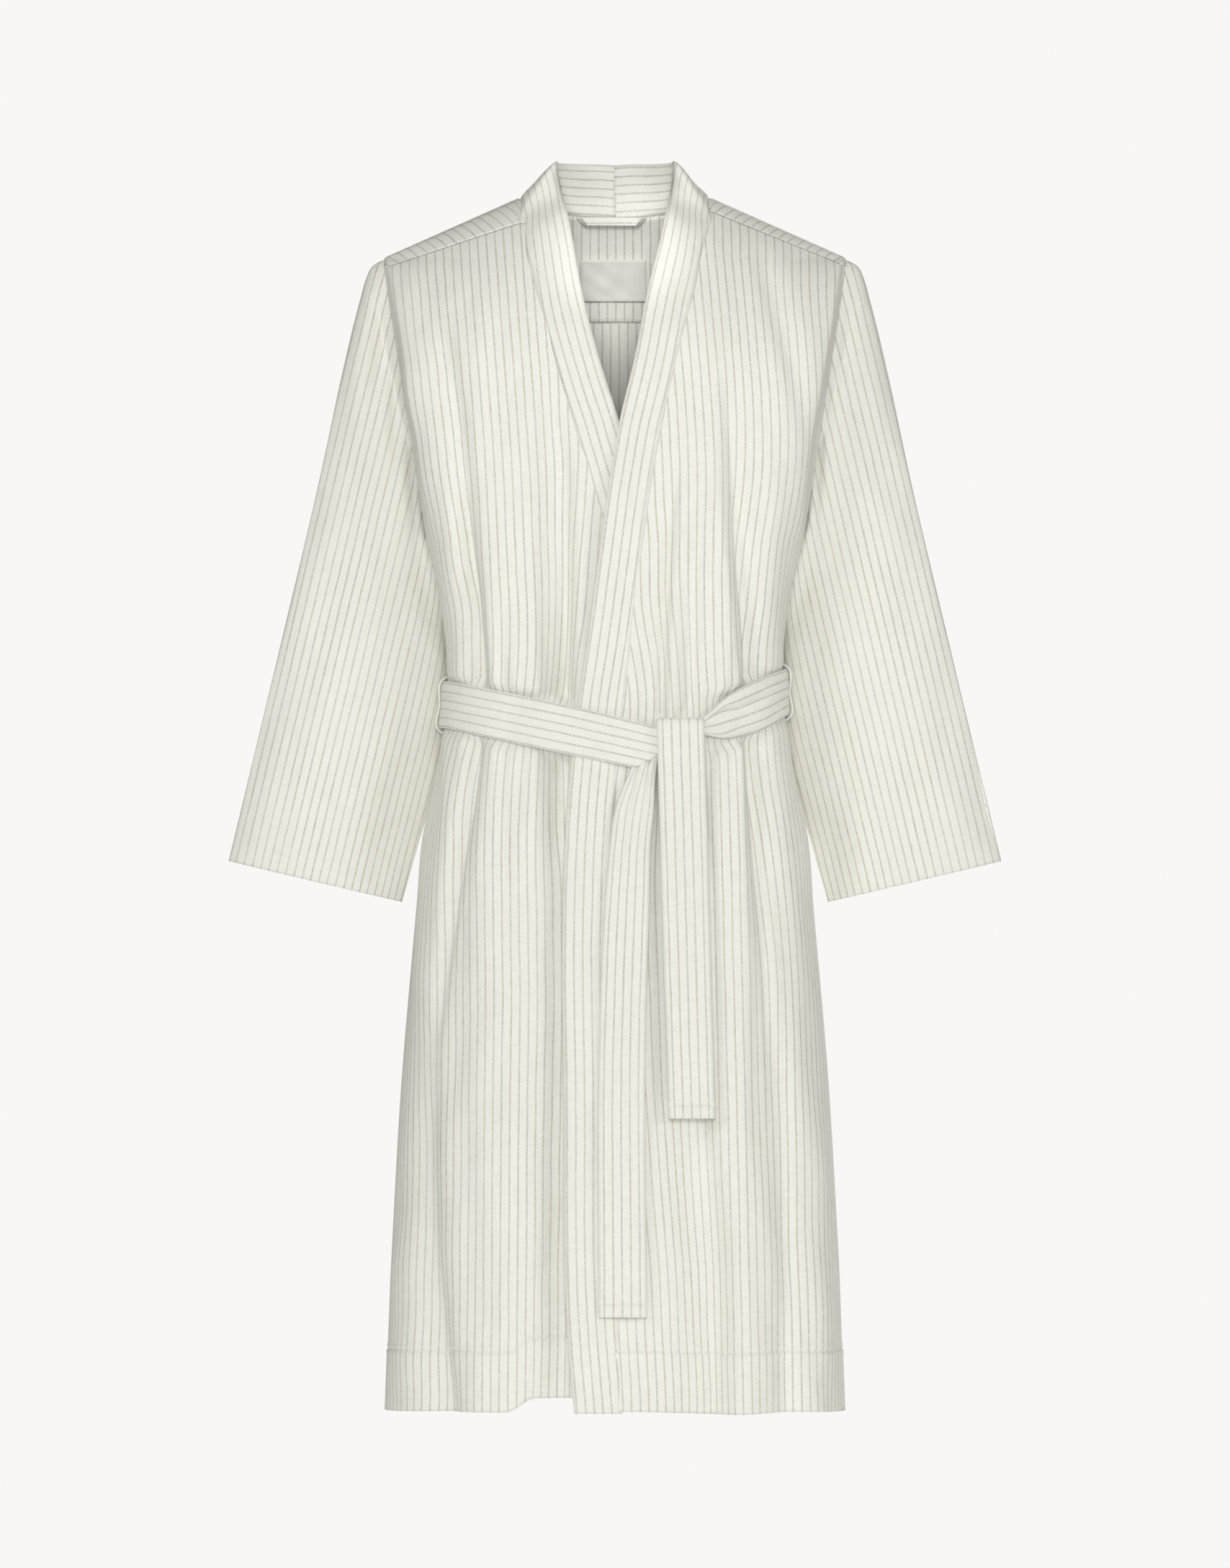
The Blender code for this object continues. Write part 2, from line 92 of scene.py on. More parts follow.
# Mesh spacing.
ROW_STEP = 0.0045
PANEL_COLUMNS = 120
BACK_COLUMNS = 180


# ---------------------------------------------------------------- curves and ripples


def smooth(low, high, value):
    """0 before low, 1 after high, and an even S between them."""
    t = np.clip((value - low) / (high - low), 0.0, 1.0)
    return t * t * (3 - 2 * t)


def bell(value, centre, width):
    return np.exp(-(((value - centre) / width) ** 2))


def curve(*points):
    """A smooth function through (place, value) points, level beyond both ends."""
    place, value = np.array(sorted(points), float).T
    slope = np.gradient(value, place) if len(place) > 1 else np.zeros(1)

    def at(q):
        q = np.clip(q, place[0], place[-1])
        i = np.clip(np.searchsorted(place, q) - 1, 0, len(place) - 2)
        span = place[i + 1] - place[i]
        t = (q - place[i]) / span
        rise = span * t * (1 - t)
        ends = value[i] * (1 + 2 * t) * (1 - t) ** 2 + value[i + 1] * t * t * (3 - 2 * t)
        return ends + rise * (slope[i] * (1 - t) - slope[i + 1] * t)

    return at


def profile(table):
    """A curve from a table of {place: value}, both in millimetres."""
    return curve(*((round(z / 1000, 7), round(v / 1000, 7)) for z, v in table.items()))


def joined(*fields):
    """Fields of one shape as an array with a last axis that picks among them."""
    return np.stack(fields, axis=-1)


def through(points, count):
    """Points evenly spaced along a smooth curve through the given ones, ends included."""
    points = np.asarray(points, float)
    flat = points.reshape(len(points), -1)
    along = np.r_[0, np.cumsum(np.linalg.norm(np.diff(flat, axis=0), axis=1))]
    at = np.linspace(0, along[-1], count)
    columns = [curve(*zip(along, flat[:, k]))(at) for k in range(flat.shape[1])]
    return np.array(columns).T.reshape((count,) + points.shape[1:])


def ripples(seed, across, along, waves=14):
    """A smooth random field over (u, v), of about unit height and those wavelengths."""
    rng = np.random.default_rng(seed)
    ku = rng.normal(0, 2 * math.pi / across, waves)
    kv = rng.normal(0, 2 * math.pi / along, waves)
    phase = rng.uniform(0, 2 * math.pi, waves)

    def at(u, v):
        total = 0.0
        for a, b, c in zip(ku, kv, phase):
            total = total + np.sin(a * u + b * v + c)
        return total / math.sqrt(waves)

    return at


# ---------------------------------------------------------------- the body's form

half_width_low = profile({HEM: 211.5, -957: 205.5, -800: 196.5, -640: 182.8, -577: 177.5,
    -520: 165.5, WAIST: 154.5, -380: 157, -345: 163, UNDERARM: 173.5})  # fmt: skip
front_depth = profile({HEM: 120, -850: 114, -640: 106, -520: 96, WAIST: 92, -380: 97,
    UNDERARM: 103, -150: 97, 0: 90, 60: 90})  # fmt: skip
back_depth = profile({HEM: 112, -850: 108, -640: 100, -520: 88, WAIST: 80, -380: 86, UNDERARM: 94,
    -150: 96, 0: 90, 60: 90})  # fmt: skip
squareness = curve((HEM_Z, 2.6), (-0.60, 2.8), (WAIST_Z, 3.1), (-0.30, 4.0), (-0.05, 4.0))


def half_width(z, share=None, tip=ARMHOLE_TOP):
    """The body's half width, which grows up the armhole from the underarm to the tip."""
    if share is None:
        share = np.clip((z - UNDERARM_Z) / (SHOULDER_TIP[1] - UNDERARM_Z), 0, 1)
    low = half_width_low(np.minimum(z, UNDERARM_Z))
    return low + (tip - low) * share


def ridge_z(x):
    """Height of the shoulder line over x, carried on smoothly across the neck."""
    slope = (NECK_POINT[1] - SHOULDER_TIP[1]) / (SHOULDER_TIP[0] - NECK_POINT[0])
    beyond = NECK_POINT[1] - (np.abs(x) - NECK_POINT[0]) * slope
    across = NECK_POINT[1] + slope * (NECK_POINT[0] ** 2 - x**2) / (2 * NECK_POINT[0])
    return np.where(np.abs(x) > NECK_POINT[0], beyond, across)


def seam_z(x, side):
    """Height of a shoulder seam, which lies on the front below the shoulder line."""
    x = np.maximum(np.abs(x), NECK_POINT[0])
    share = (x - NECK_POINT[0]) / (SHOULDER_TIP[0] - NECK_POINT[0])
    drop = 0.0130 - 0.0055 * share if side > 0 else 0.0245 - 0.0155 * share
    return ridge_z(x) - drop


def neckline_z(x):
    return NECK_POINT[1] * (x / NECK_POINT[0]) ** 2


def rounding(drop):
    """How far the cloth has come round the shoulder, 0 to 1, at a drop below its line."""
    t = np.clip(drop / SHOULDER_ROUNDING, 0, 1)
    return 0.5 * np.sqrt(1 - (1 - t) ** 2) + 0.5 * (1 - (1 - t) ** 2.2)


def armhole_depth(z):
    share = np.clip((z - UNDERARM_Z) / (SHOULDER_TIP[1] - UNDERARM_Z), 0, 1)
    return ARMHOLE_HALF_DEPTH * np.sqrt(np.maximum(0, 1 - (2 * share - 1) ** 2))


def body_y(x, z, side, proud=0.0, wide=None):
    """Depth of the body's front (side -1) or back (side 1) at x and z."""
    wide = half_width(z) if wide is None else wide
    power = squareness(z)
    share = np.clip(np.abs(x) / wide, 0, 1)
    flat = (1 - share**power) ** (1 / power)
    deep = (front_depth(z) if side < 0 else back_depth(z)) + proud
    deep = deep * rounding(ridge_z(x) + proud - z)
    return SIDE_Y + side * (flat * deep + (1 - flat) * armhole_depth(z))


# The belt's edges over the front, x to z: taut on the left, gathered in on the right.
LEFT_STRAP_TOP = profile({-154.5: -432, -35.8: -456, 35.5: -473.4, 60: -479})
LEFT_STRAP_LOW = profile({-154.5: -475, -35.8: -500.7, 15.6: -511.5, 60: -521.5})
LEFT_STRAP_ROLL = profile({10: -525, 15.6: -512.5, 25.5: -506.8, 36.3: -501, 60: -490})
RIGHT_STRAP_TOP = profile({60: -475, 79.4: -466.5, 103.4: -445.7, 120.9: -435.5, 142.8: -426,
    162.5: -419.4})  # fmt: skip
RIGHT_STRAP_LOW = profile({60: -479, 81.6: -481.4, 93.2: -484.3, 112.2: -483.6, 132.6: -477.8,
    162.5: -461.2})  # fmt: skip


def belt_z(x):
    """Height of the belt's middle line over the front."""
    left = (LEFT_STRAP_TOP(x) + LEFT_STRAP_LOW(x)) / 2
    right = (RIGHT_STRAP_TOP(x) + RIGHT_STRAP_LOW(x)) / 2
    return left + (right - left) * smooth(0.045, 0.075, x)


def under_belt(x, z, side):
    """1 where the belt presses on the cloth, falling to 0 a little beyond its edges."""
    middle = belt_z(x) if side < 0 else WAIST_Z
    return smooth(0.033, 0.020, np.abs(z - middle))


# ---------------------------------------------------------------- folds


class Fold:
    """A ridge, or a valley where its height is negative, that runs down a panel.

    line is its x and height its height, each as a curve over z. width is its reach to the
    left and to the right, and lean pushes its crest sideways over its neighbour.
    """

    def __init__(self, line, width, height, lean):
        self.line, self.width, self.height, self.lean = line, width, height, lean

    def shape(self, x, z):
        away = x - self.line(z)
        reach = np.where(away < 0, self.width[0], self.width[1])
        return self.height(z) * np.exp(-((away / reach) ** 2))


def flute(line, width, height, lean=0.0):
    """A fold from tables in millimetres."""
    return Fold(profile(line), [round(w / 1000, 7) for w in width], profile(height), lean)


# The wearer's right front, seen on the left.
RIGHT_FOLDS = [
    flute({-100: -150, -200: -143, -270: -137.5, -340: -130, -435: -123.5, -500: -128, -646: -149,
           -765: -165},
          (7.5, 5.5), {-80: 0, -200: -3.5, -300: -8.5, -430: -12, -500: -10, -650: -6, -780: -3,
           -950: 0}),
    flute({-200: -126, -340: -112, -435: -105, -500: -110, -650: -126},
          (9, 20), {-120: 0, -250: 3, -400: 7, -500: 5.5, -680: 3, -950: 0}, -0.55),
    flute({-200: -163, -340: -147, -435: -140, -520: -145, -700: -172},
          (13, 10), {-160: 0, -300: 3.5, -420: 5, -520: 5, -700: 2, -900: 0}),
    flute({-30: -172, -90: -166, -157: -150, -268: -130},
          (12, 10), {-30: 0, -100: -3, -160: -4.5, -260: -2.5, -340: 0}),
    flute({-100: -85, -250: -80, -440: -76.5, -520: -75.5},
          (17, 10.5), {-100: 0, -200: 2, -340: 5, -440: 7.5, -530: 6, -660: 1.5, -800: 0}, 0.3),
    flute({-250: -44, -440: -44, -530: -48},
          (19, 30), {-120: 0, -240: -8, -340: -19, -440: -25, -530: -19, -620: -7, -800: 0}),
    flute({-500: -92, -800: -98, -1100: -104},
          (30, 30), {-500: 0, -660: 3, -900: 5, -1100: 6}),
    flute({-780: -176, -950: -172, -1100: -154},
          (18, 12), {-700: 0, -850: -9, -1000: -12.5, -1100: -14}),
    flute({-600: -46, -900: -48, -1100: -50},
          (28, 30), {-560: 0, -750: -11, -950: -16, -1100: -18}),
]  # fmt: skip

# The wearer's left front, seen on the right, which laps over the other.
LEFT_FOLDS = [
    flute({-160: 100, -227: 106.5, -318: 113.5, -400: 121.5, -480: 124.5, -607: 131, -700: 137,
           -800: 142},
          (4.5, 9), {-140: 0, -240: -5, -320: -9, -420: -12, -500: -11, -610: -8, -720: -4.5,
           -880: 0}),
    flute({-160: 80, -300: 94, -420: 103, -500: 106, -700: 117},
          (22, 9), {-120: 0, -240: 3.5, -340: 6, -440: 8, -520: 7.5, -700: 4.5, -900: 0}, 0.55),
    flute({-200: 138, -360: 143, -440: 144, -520: 149, -700: 168},
          (10, 12), {-180: 0, -320: 3, -430: 5, -540: 4.5, -720: 2, -900: 0}),
    flute({-30: 136, -90: 149, -148: 166, -200: 178},
          (11, 13), {-25: 0, -70: -4.5, -150: -5, -220: -2.5, -280: 0}),
    flute({-200: 64, -300: 50, -387: 44, -467: 40},
          (4.2, 5), {-160: 0, -260: -2.2, -360: -4, -460: -5, -560: -3, -700: 0}),
    flute({-240: 62, -387: 56, -467: 54},
          (6.5, 6.5), {-180: 0, -280: 2.5, -360: 4.5, -460: 6, -560: 3, -700: 0}, -0.5),
    flute({-240: 80, -387: 70, -467: 70, -600: 86, -800: 93},
          (5, 5), {-220: 0, -330: -2.8, -440: -5, -560: -3.5, -700: -3.5, -840: 0}),
    flute({-240: 28, -400: 26, -467: 24},
          (6, 7), {-240: 0, -340: 2, -460: 3.5, -560: 1.5, -640: 0}),
    flute({-550: 40, -800: 78, -960: 96, -1100: 97},
          (42, 10), {-540: 0, -700: -8, -880: -18, -1000: -23, -1100: -24}),
    flute({-750: 116, -950: 120, -1100: 121},
          (13, 20), {-700: 0, -860: 5, -980: 8, -1100: 9}, -0.3),
    flute({-750: 152, -950: 158, -1100: 156},
          (10, 9), {-700: 0, -860: -4, -980: -6, -1100: -6.5}),
    flute({-750: 180, -950: 186, -1100: 185},
          (15, 14), {-720: 0, -880: 3.5, -1000: 4.5, -1100: 5}),
]  # fmt: skip


def back_folds():
    """Soft flutes down the back, gathered by the belt and opening towards the hem."""
    rng = np.random.default_rng(41)
    folds = []
    for k, x in enumerate(np.linspace(-0.118, 0.118, 9)):
        sign = 1 if k % 2 else -1
        waist = x + rng.uniform(-0.004, 0.004)
        top = x * 1.12 + rng.uniform(-0.008, 0.008)
        hem = x * 1.42 + rng.uniform(-0.010, 0.010)
        tall = sign * rng.uniform(0.0045, 0.0075)
        rise = UNDERARM_Z + rng.uniform(-0.03, 0.10)
        line = curve((rise, top), (WAIST_Z, waist), (-0.70, (waist + hem) / 2), (HEM_Z, hem))
        width = (0.010 + 0.004 * rng.random(), 0.010 + 0.004 * rng.random())
        height = curve((rise, 0), (WAIST_Z, tall), (-0.60, tall * 0.75), (HEM_Z, tall * 0.55))
        folds.append(Fold(line, width, height, 0.25 * sign))
    return folds


def fold_field(x, z, folds):
    """Height and sideways lean that the folds add up to."""
    shapes = [fold.shape(x, z) for fold in folds]
    lean = sum(fold.lean * np.abs(shape) for fold, shape in zip(folds, shapes))
    return sum(shapes), lean


def displaced(x, y, height, lean, side):
    """Cross-sections x, y pushed out along their normals, and sideways."""
    dx, dy = np.gradient(x, axis=1), np.gradient(y, axis=1)
    length = np.hypot(dx, dy) + 1e-9
    turn = np.where(-dx * side < 0, -1.0, 1.0) * height
    return x + dy / length * turn + lean, y - dx / length * turn


def overlap_folds(x, z):
    """The left front's folds where it laps, which the layers under it share."""
    height, _ = fold_field(x, z, LEFT_FOLDS)
    over = smooth(-0.012, 0.010, x) * smooth(-0.20, -0.30, z)
    return height * over * (1 - 0.88 * under_belt(x, z, -1))


def gathers(u, z, seed, middle):
    """Small pleats that the belt draws up, strongest just above and below it."""
    slow, phase = ripples(seed, 0.10, 0.30), ripples(seed + 1, 0.08, 0.50)
    near = 0.75 * bell(z, middle + 0.035, 0.050) + bell(z, middle - 0.040, 0.060)
    return 0.0013 * near * np.sin(2 * math.pi * u / 0.0185 + 1.6 * phase(u, z)) * (
        0.7 + 0.5 * slow(u, z)
    )


# ---------------------------------------------------------------- cloth meshes


def normals_of(points, closed=False):
    """Unit normals of a grid of points, rows by columns."""
    if closed:
        wrapped = np.concatenate([points[:, -2:-1], points, points[:, 1:2]], axis=1)
        across = np.gradient(wrapped, axis=1)[:, 1:-1]
    else:
        across = np.gradient(points, axis=1)
    along = np.gradient(points, axis=0)
    n = np.cross(across, along)
    return n / (np.linalg.norm(n, axis=2, keepdims=True) + 1e-12)


def edge_taper(count):
    """Thickness over a doubled piece's width: full, with rounded edges."""
    t = np.abs(np.linspace(-1, 1, count))
    return np.sqrt(np.clip(1 - t**7, 0, 1)) * 0.94 + 0.06


def cloth(name, points, grain, material, thickness=CLOTH, rounded=False, closed=False, relief=0.0):
    """A closed mesh of a sheet of cloth, from the grid of points through its middle.

    rounded is for a doubled piece, whose side edges are folds. closed joins the last
    column to the first. relief raises the outer face, the one that the columns see
    turning left as the rows go up.
    """
    normal = normals_of(points, closed)
    rows, columns = points.shape[:2]
    taper = edge_taper(columns) if rounded else np.ones(columns)
    half = (thickness / 2 * taper)[None, :, None]
    outer = points + normal * (half + np.atleast_3d(relief))
    inner = points - normal * half
    used = columns - 1 if closed else columns
    verts = np.concatenate([face[:, :used].reshape(-1, 3) for face in (outer, inner)])
    faces, uvs = [], []

    def add(flip, *corners):
        """Quads from their corners, each a row, a column and 0 for outside or 1 for inside."""
        corners = corners[::-1] if flip else corners
        faces.append(np.stack([(k * rows + r) * used + c % used for r, c, k in corners], 1))
        uvs.append(np.stack([grain[r, c] for r, c, _ in corners], 1).reshape(-1, 2))

    r, c = np.meshgrid(np.arange(rows - 1), np.arange(columns - 1), indexing="ij")
    r, c = r.ravel(), c.ravel()
    add(False, (r, c, 0), (r, c + 1, 0), (r + 1, c + 1, 0), (r + 1, c, 0))
    add(False, (r, c, 1), (r + 1, c, 1), (r + 1, c + 1, 1), (r, c + 1, 1))
    k = np.arange(columns - 1)
    for row in (0, rows - 1):
        add(row == 0, (row, k, 0), (row, k + 1, 0), (row, k + 1, 1), (row, k, 1))
    k = np.arange(rows - 1)
    for column in () if closed else (0, columns - 1):
        add(column > 0, (k, column, 0), (k + 1, column, 0), (k + 1, column, 1), (k, column, 1))
    faces = np.concatenate(faces).tolist()
    piece = mesh_piece(f"{name}_cloth", verts.tolist(), faces, material, np.concatenate(uvs))
    return piece, outer, normal


def mesh_piece(name, verts, faces, material, uv=None):
    mesh = bpy.data.meshes.new(name)
    mesh.from_pydata(verts, [], faces)
    if uv is not None:
        layer = mesh.uv_layers.new(name="grain")
        layer.data.foreach_set("uv", uv.astype(np.float32).ravel())
    mesh.shade_smooth()
    mesh.materials.append(material)
    piece = bpy.data.objects.new(name, mesh)
    bpy.context.scene.collection.objects.link(piece)
    return piece


def plain(name, points, grain, material, body="robe", **options):
    """A cloth piece that stands for the CAD node of its name and rides on a body."""
    piece, outer, normal = cloth(name, points, grain, material, **options)
    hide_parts(name)
    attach(piece, body)
    return piece, outer, normal


def stitches(name, line, normal, body, material, lift=0.00015):
    """A row of thread stitches along a line of points that lie on the cloth's face."""
    along = np.r_[0, np.cumsum(np.linalg.norm(np.diff(line, axis=0), axis=1))]
    starts = np.arange(STITCH_GAP, along[-1] - STITCH_LENGTH, STITCH_LENGTH + STITCH_GAP)
    shape = np.array([[0, -0.1, -0.5], [0.25, 1, 0.35], [0.75, 1, 0.35], [1, -0.1, -0.5]])
    verts, faces = [], []
    for start in starts:
        base = len(verts)
        for share, wide, high in shape:
            at = start + share * STITCH_LENGTH
            p, q, n = (
                np.array([np.interp(place, along, field[:, k]) for k in range(3)])
                for place, field in ((at, line), (at + 1e-4, line), (at, normal))
            )
            n = n / np.linalg.norm(n)
            t = (q - p) / (np.linalg.norm(q - p) + 1e-12)
            across = np.cross(n, t)
            radius = 0.00022 * (0.55 + 0.45 * max(wide, 0))
            for angle in range(6):
                a = angle * math.pi / 3
                ring = across * math.cos(a) + n * math.sin(a) * 0.8
                verts.append(p + n * (lift + high * 0.0003) + ring * radius)
        for ring in range(3):
            for angle in range(6):
                a, b = base + ring * 6 + angle, base + ring * 6 + (angle + 1) % 6
                faces.append((a, b, b + 6, a + 6))
        faces.append(tuple(base + angle for angle in reversed(range(6))))
        faces.append(tuple(base + 18 + angle for angle in range(6)))
    piece = mesh_piece(name, np.array(verts).tolist(), faces, material)
    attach(piece, body)
    return piece


def between(grid, position, axis):
    """The line of points at a fractional row (axis 0) or column (axis 1) of a grid."""
    low = int(np.clip(np.floor(position), 0, grid.shape[axis] - 2))
    share = position - low
    a = np.take(grid, low, axis=axis)
    b = np.take(grid, low + 1, axis=axis)
    return a + (b - a) * share


# ---------------------------------------------------------------- materials


class Nodes:
    """A short way to wire up a material's nodes."""

    def __init__(self, name):
        self.material = bpy.data.materials.new(name)
        self.material.use_nodes = True
        self.tree = self.material.node_tree
        self.shader = self.tree.nodes["Principled BSDF"]

    def put(self, socket, value):
        if isinstance(value, bpy.types.NodeSocket):
            self.tree.links.new(value, socket)
        else:
            socket.default_value = value

    def add(self, kind, output=0, settings=None, **inputs):
        node = self.tree.nodes.new(kind)
        for key, value in (settings or {}).items():
            setattr(node, key, value)
        for key, value in inputs.items():
            name = int(key[1:]) if key[0] == "i" and key[1:].isdigit() else key
            self.put(node.inputs[name.replace("_", " ") if isinstance(name, str) else name], value)
        return node.outputs[output]

    def math(self, operation, a, b=0.0, c=0.0):
        return self.add("ShaderNodeMath", settings={"operation": operation}, i0=a, i1=b, i2=c)

    def grain(self):
        uv = self.add("ShaderNodeUVMap", settings={"uv_map": "grain"})
        split = self.tree.nodes.new("ShaderNodeSeparateXYZ")
        self.put(split.inputs[0], uv)
        return split.outputs[0], split.outputs[1]

    def wave(self, value, length):
        return self.math("SINE", self.math("MULTIPLY", value, 2 * math.pi / length))

    def noise(self, u, v, across, along, detail=2.0, seed=0.0):
        """Noise over the grain, with features about that many metres across and along."""
        x = self.math("DIVIDE", u, across)
        y = self.math("DIVIDE", v, along)
        place = self.add("ShaderNodeCombineXYZ", X=x, Y=y, Z=seed)
        return self.add("ShaderNodeTexNoise", Vector=place, Scale=1.0, Detail=detail)

    def mix(self, share, a, b):
        node = self.tree.nodes.new("ShaderNodeMix")
        node.data_type = "RGBA"
        for k, item in ((0, share), (6, a), (7, b)):
            self.put(node.inputs[k], (*item, 1.0) if isinstance(item, tuple) else item)
        return node.outputs[2]

    def set(self, **inputs):
        for name, value in inputs.items():
            self.put(self.shader.inputs[name.replace("_", " ")], value)

    def ramp(self, value, low, high, to_low=0.0, to_high=1.0):
        node = self.tree.nodes.new("ShaderNodeMapRange")
        node.interpolation_type = "SMOOTHSTEP"
        for k, item in enumerate((value, low, high, to_low, to_high)):
            self.put(node.inputs[k], item)
        return node.outputs[0]


def striped_cloth(name, base, stripe, shade):
    """Plain-woven ivory cotton and linen with thin, slubby taupe stripes along v."""
    m = Nodes(name)
    u, v = m.grain()
    wander = m.math("MULTIPLY_ADD", m.noise(u, v, 0.02, 0.05), 0.0012, -0.0006)
    across = m.math("DIVIDE", m.math("ADD", u, wander), STRIPE_PITCH)
    from_middle = m.math("ABSOLUTE", m.math("SUBTRACT", m.math("FRACT", across), 0.5))
    slub = m.noise(u, v, 0.006, 0.011, detail=3.0, seed=3.1)
    half = m.math("MULTIPLY_ADD", slub, 0.0007, STRIPE_WIDTH / 2 - 0.00035)
    edge = m.math("SUBTRACT", m.math("MULTIPLY", from_middle, STRIPE_PITCH), half)
    yarn = m.ramp(edge, -0.00038, 0.00038, 1.0, 0.0)
    broken = m.ramp(m.noise(u, v, 0.004, 0.0016, detail=1.0, seed=7.7), 0.30, 0.62, 0.55, 1.0)
    faded = m.ramp(m.noise(u, v, 0.03, 0.09, seed=5.5), 0.30, 0.70, 0.72, 1.0)
    strength = m.math("MULTIPLY", m.math("MULTIPLY", yarn, broken), faded)
    tone = m.noise(m.math("FLOOR", across), v, 1.7, 0.5, seed=2.0)
    warm = tuple(c * k for c, k in zip(stripe, (1.04, 1.00, 0.94)))
    dyed = m.mix(m.ramp(tone, 0.42, 0.58), stripe, warm)
    cloudy = m.noise(u, v, 0.05, 0.07, detail=3.0, seed=1.3)
    ground = m.mix(m.ramp(cloudy, 0.25, 0.75), base, shade)
    weft = m.noise(u, v, 0.016, 0.0007, detail=1.0, seed=9.2)
    warp = m.noise(u, v, 0.0007, 0.016, detail=1.0, seed=4.4)
    threads = m.math("ADD", weft, warp)
    streak = m.ramp(threads, 0.80, 1.25, 0.0, 0.16)
    woven = m.mix(streak, ground, tuple(min(1.0, c * 1.08) for c in base))
    pale = m.ramp(threads, 0.75, 1.10, 0.16, 0.0)
    woven = m.mix(pale, woven, tuple(c * 0.72 for c in base))
    weave = m.math("MULTIPLY", m.wave(v, 0.00075), m.wave(u, 0.00075))
    crumple = m.noise(u, v, 0.012, 0.020, detail=4.0, seed=6.6)
    height = m.math("MULTIPLY_ADD", weave, 0.00006, m.math("MULTIPLY", threads, 0.00016))
    height = m.math("ADD", height, m.math("MULTIPLY", crumple, 0.0009))
    height = m.math("MULTIPLY_ADD", yarn, 0.00006, height)
    bump = m.add("ShaderNodeBump", Height=height, Strength=0.55, Distance=1.0)
    m.set(Base_Color=m.mix(strength, woven, dyed), Normal=bump, Roughness=0.88)
    m.set(Sheen_Weight=0.18, Sheen_Roughness=0.45, Specular_IOR_Level=0.22)
    return m.material


def thread(name, colour):
    m = Nodes(name)
    place = m.add("ShaderNodeTexCoord", output=3)
    twist = m.add("ShaderNodeTexNoise", Vector=place, Scale=900.0, Detail=1.0)
    m.set(Base_Color=m.mix(twist, colour, tuple(c * 0.86 for c in colour)), Roughness=0.6)
    return m.material


def label_tape(name, colour):
    """Close satin tape: fine ribs and a faint sheen, with nothing woven into it."""
    m = Nodes(name)
    u, v = m.grain()
    cloud = m.noise(u, v, 0.010, 0.008, detail=3.0)
    height = m.math("MULTIPLY", cloud, 0.0003)
    height = m.math("MULTIPLY_ADD", m.wave(v, 0.0006), 0.00003, height)
    m.set(Base_Color=m.mix(cloud, colour, tuple(c * 0.93 for c in colour)), Roughness=0.55)
    m.set(Normal=m.add("ShaderNodeBump", Height=height, Distance=1.0))
    return m.material


# IVORY_SHADE is a slightly darker ivory. On the outside it gives the cloth's random clouds of tone.
# As the ground of the inside material it makes that material a darker copy of the cotton, which is
# painted shade.
IVORY = (0.902, 0.897, 0.842)
IVORY_SHADE = (0.880, 0.872, 0.808)
TAUPE = (0.590, 0.571, 0.506)


# ---------------------------------------------------------------- panels


def levels(stitch_z):
    """Row heights from the hem to the underarm, closer together beside the stitch line."""
    beside = stitch_z + np.array([-0.0040, -0.0022, -0.0010, 0.0, 0.0010, 0.0022, 0.0040])
    rows = np.sort(np.r_[np.arange(HEM_Z, UNDERARM_Z, ROW_STEP), UNDERARM_Z, beside])
    return rows[np.r_[True, np.diff(rows) > 0.0006]]


def armhole_shares(low, count=60):
    """Shares of the way up the armhole, 0 for the rows of low, and then more of them."""
    shares = 1 - (1 - np.linspace(0, 1, count + 1)[1:]) ** 1.25
    return shares, np.r_[np.zeros(len(low)), shares]


def risen(share, top, level):
    """Heights of rows: level ones, and above the underarm a share of the way to the top."""
    return np.where(share > 0, UNDERARM_Z + (top - UNDERARM_Z) * share, level)


def resample(held, free, columns):
    """Each row of held, evenly spaced along the length of the row of free, and that length."""
    step = np.hypot(np.diff(free[0], axis=1), np.diff(free[1], axis=1))
    along = np.concatenate([np.zeros((len(step), 1)), np.cumsum(step, axis=1)], axis=1)
    arc = np.linspace(0, along[:, -1], columns).T
    rows = [
        np.stack([np.interp(a, b, field[r]) for field in held], axis=1)
        for r, (a, b) in enumerate(zip(arc, along))
    ]
    return np.array(rows), arc, along


def draped(x, y, z, side, folds, keep, crease, anchor, columns):
    """Points over a form with its folds, and how far along each row from its anchor."""
    height, lean = fold_field(x, z, folds)
    height = height + crease
    free = displaced(x, y, height * keep, lean * keep, side)
    press = keep * (1 - 0.88 * under_belt(x, z, side))
    held = displaced(x, y, height * press, lean * press, side)
    points, arc, along = resample((*held, z), free, columns)
    at = [np.interp(a, *ordered(b, c)) for a, b, c in zip(anchor, free[0], along)]
    return points, arc - np.array(at)[:, None]


def hem_relief(above, depth):
    """A turned hem stands a little proud, with a groove where it is stitched."""
    proud = 0.0007 * smooth(depth + 0.001, depth - 0.003, above)
    puffed = 0.0006 * (bell(above, depth - 0.0030, 0.0016) + bell(above, depth + 0.0030, 0.0016))
    return proud + puffed - 0.0009 * bell(above, depth, 0.0012)


def level_line(grid, field, value):
    """The line across a grid at which a field, which grows up its rows, has a value."""
    rows = np.arange(len(grid))
    line = np.empty((grid.shape[1], 3))
    for c in range(grid.shape[1]):
        at = np.interp(value, field[:, c], rows)
        low = min(int(at), len(grid) - 2)
        line[c] = grid[low, c] + (grid[low + 1, c] - grid[low, c]) * (at - low)
    return line


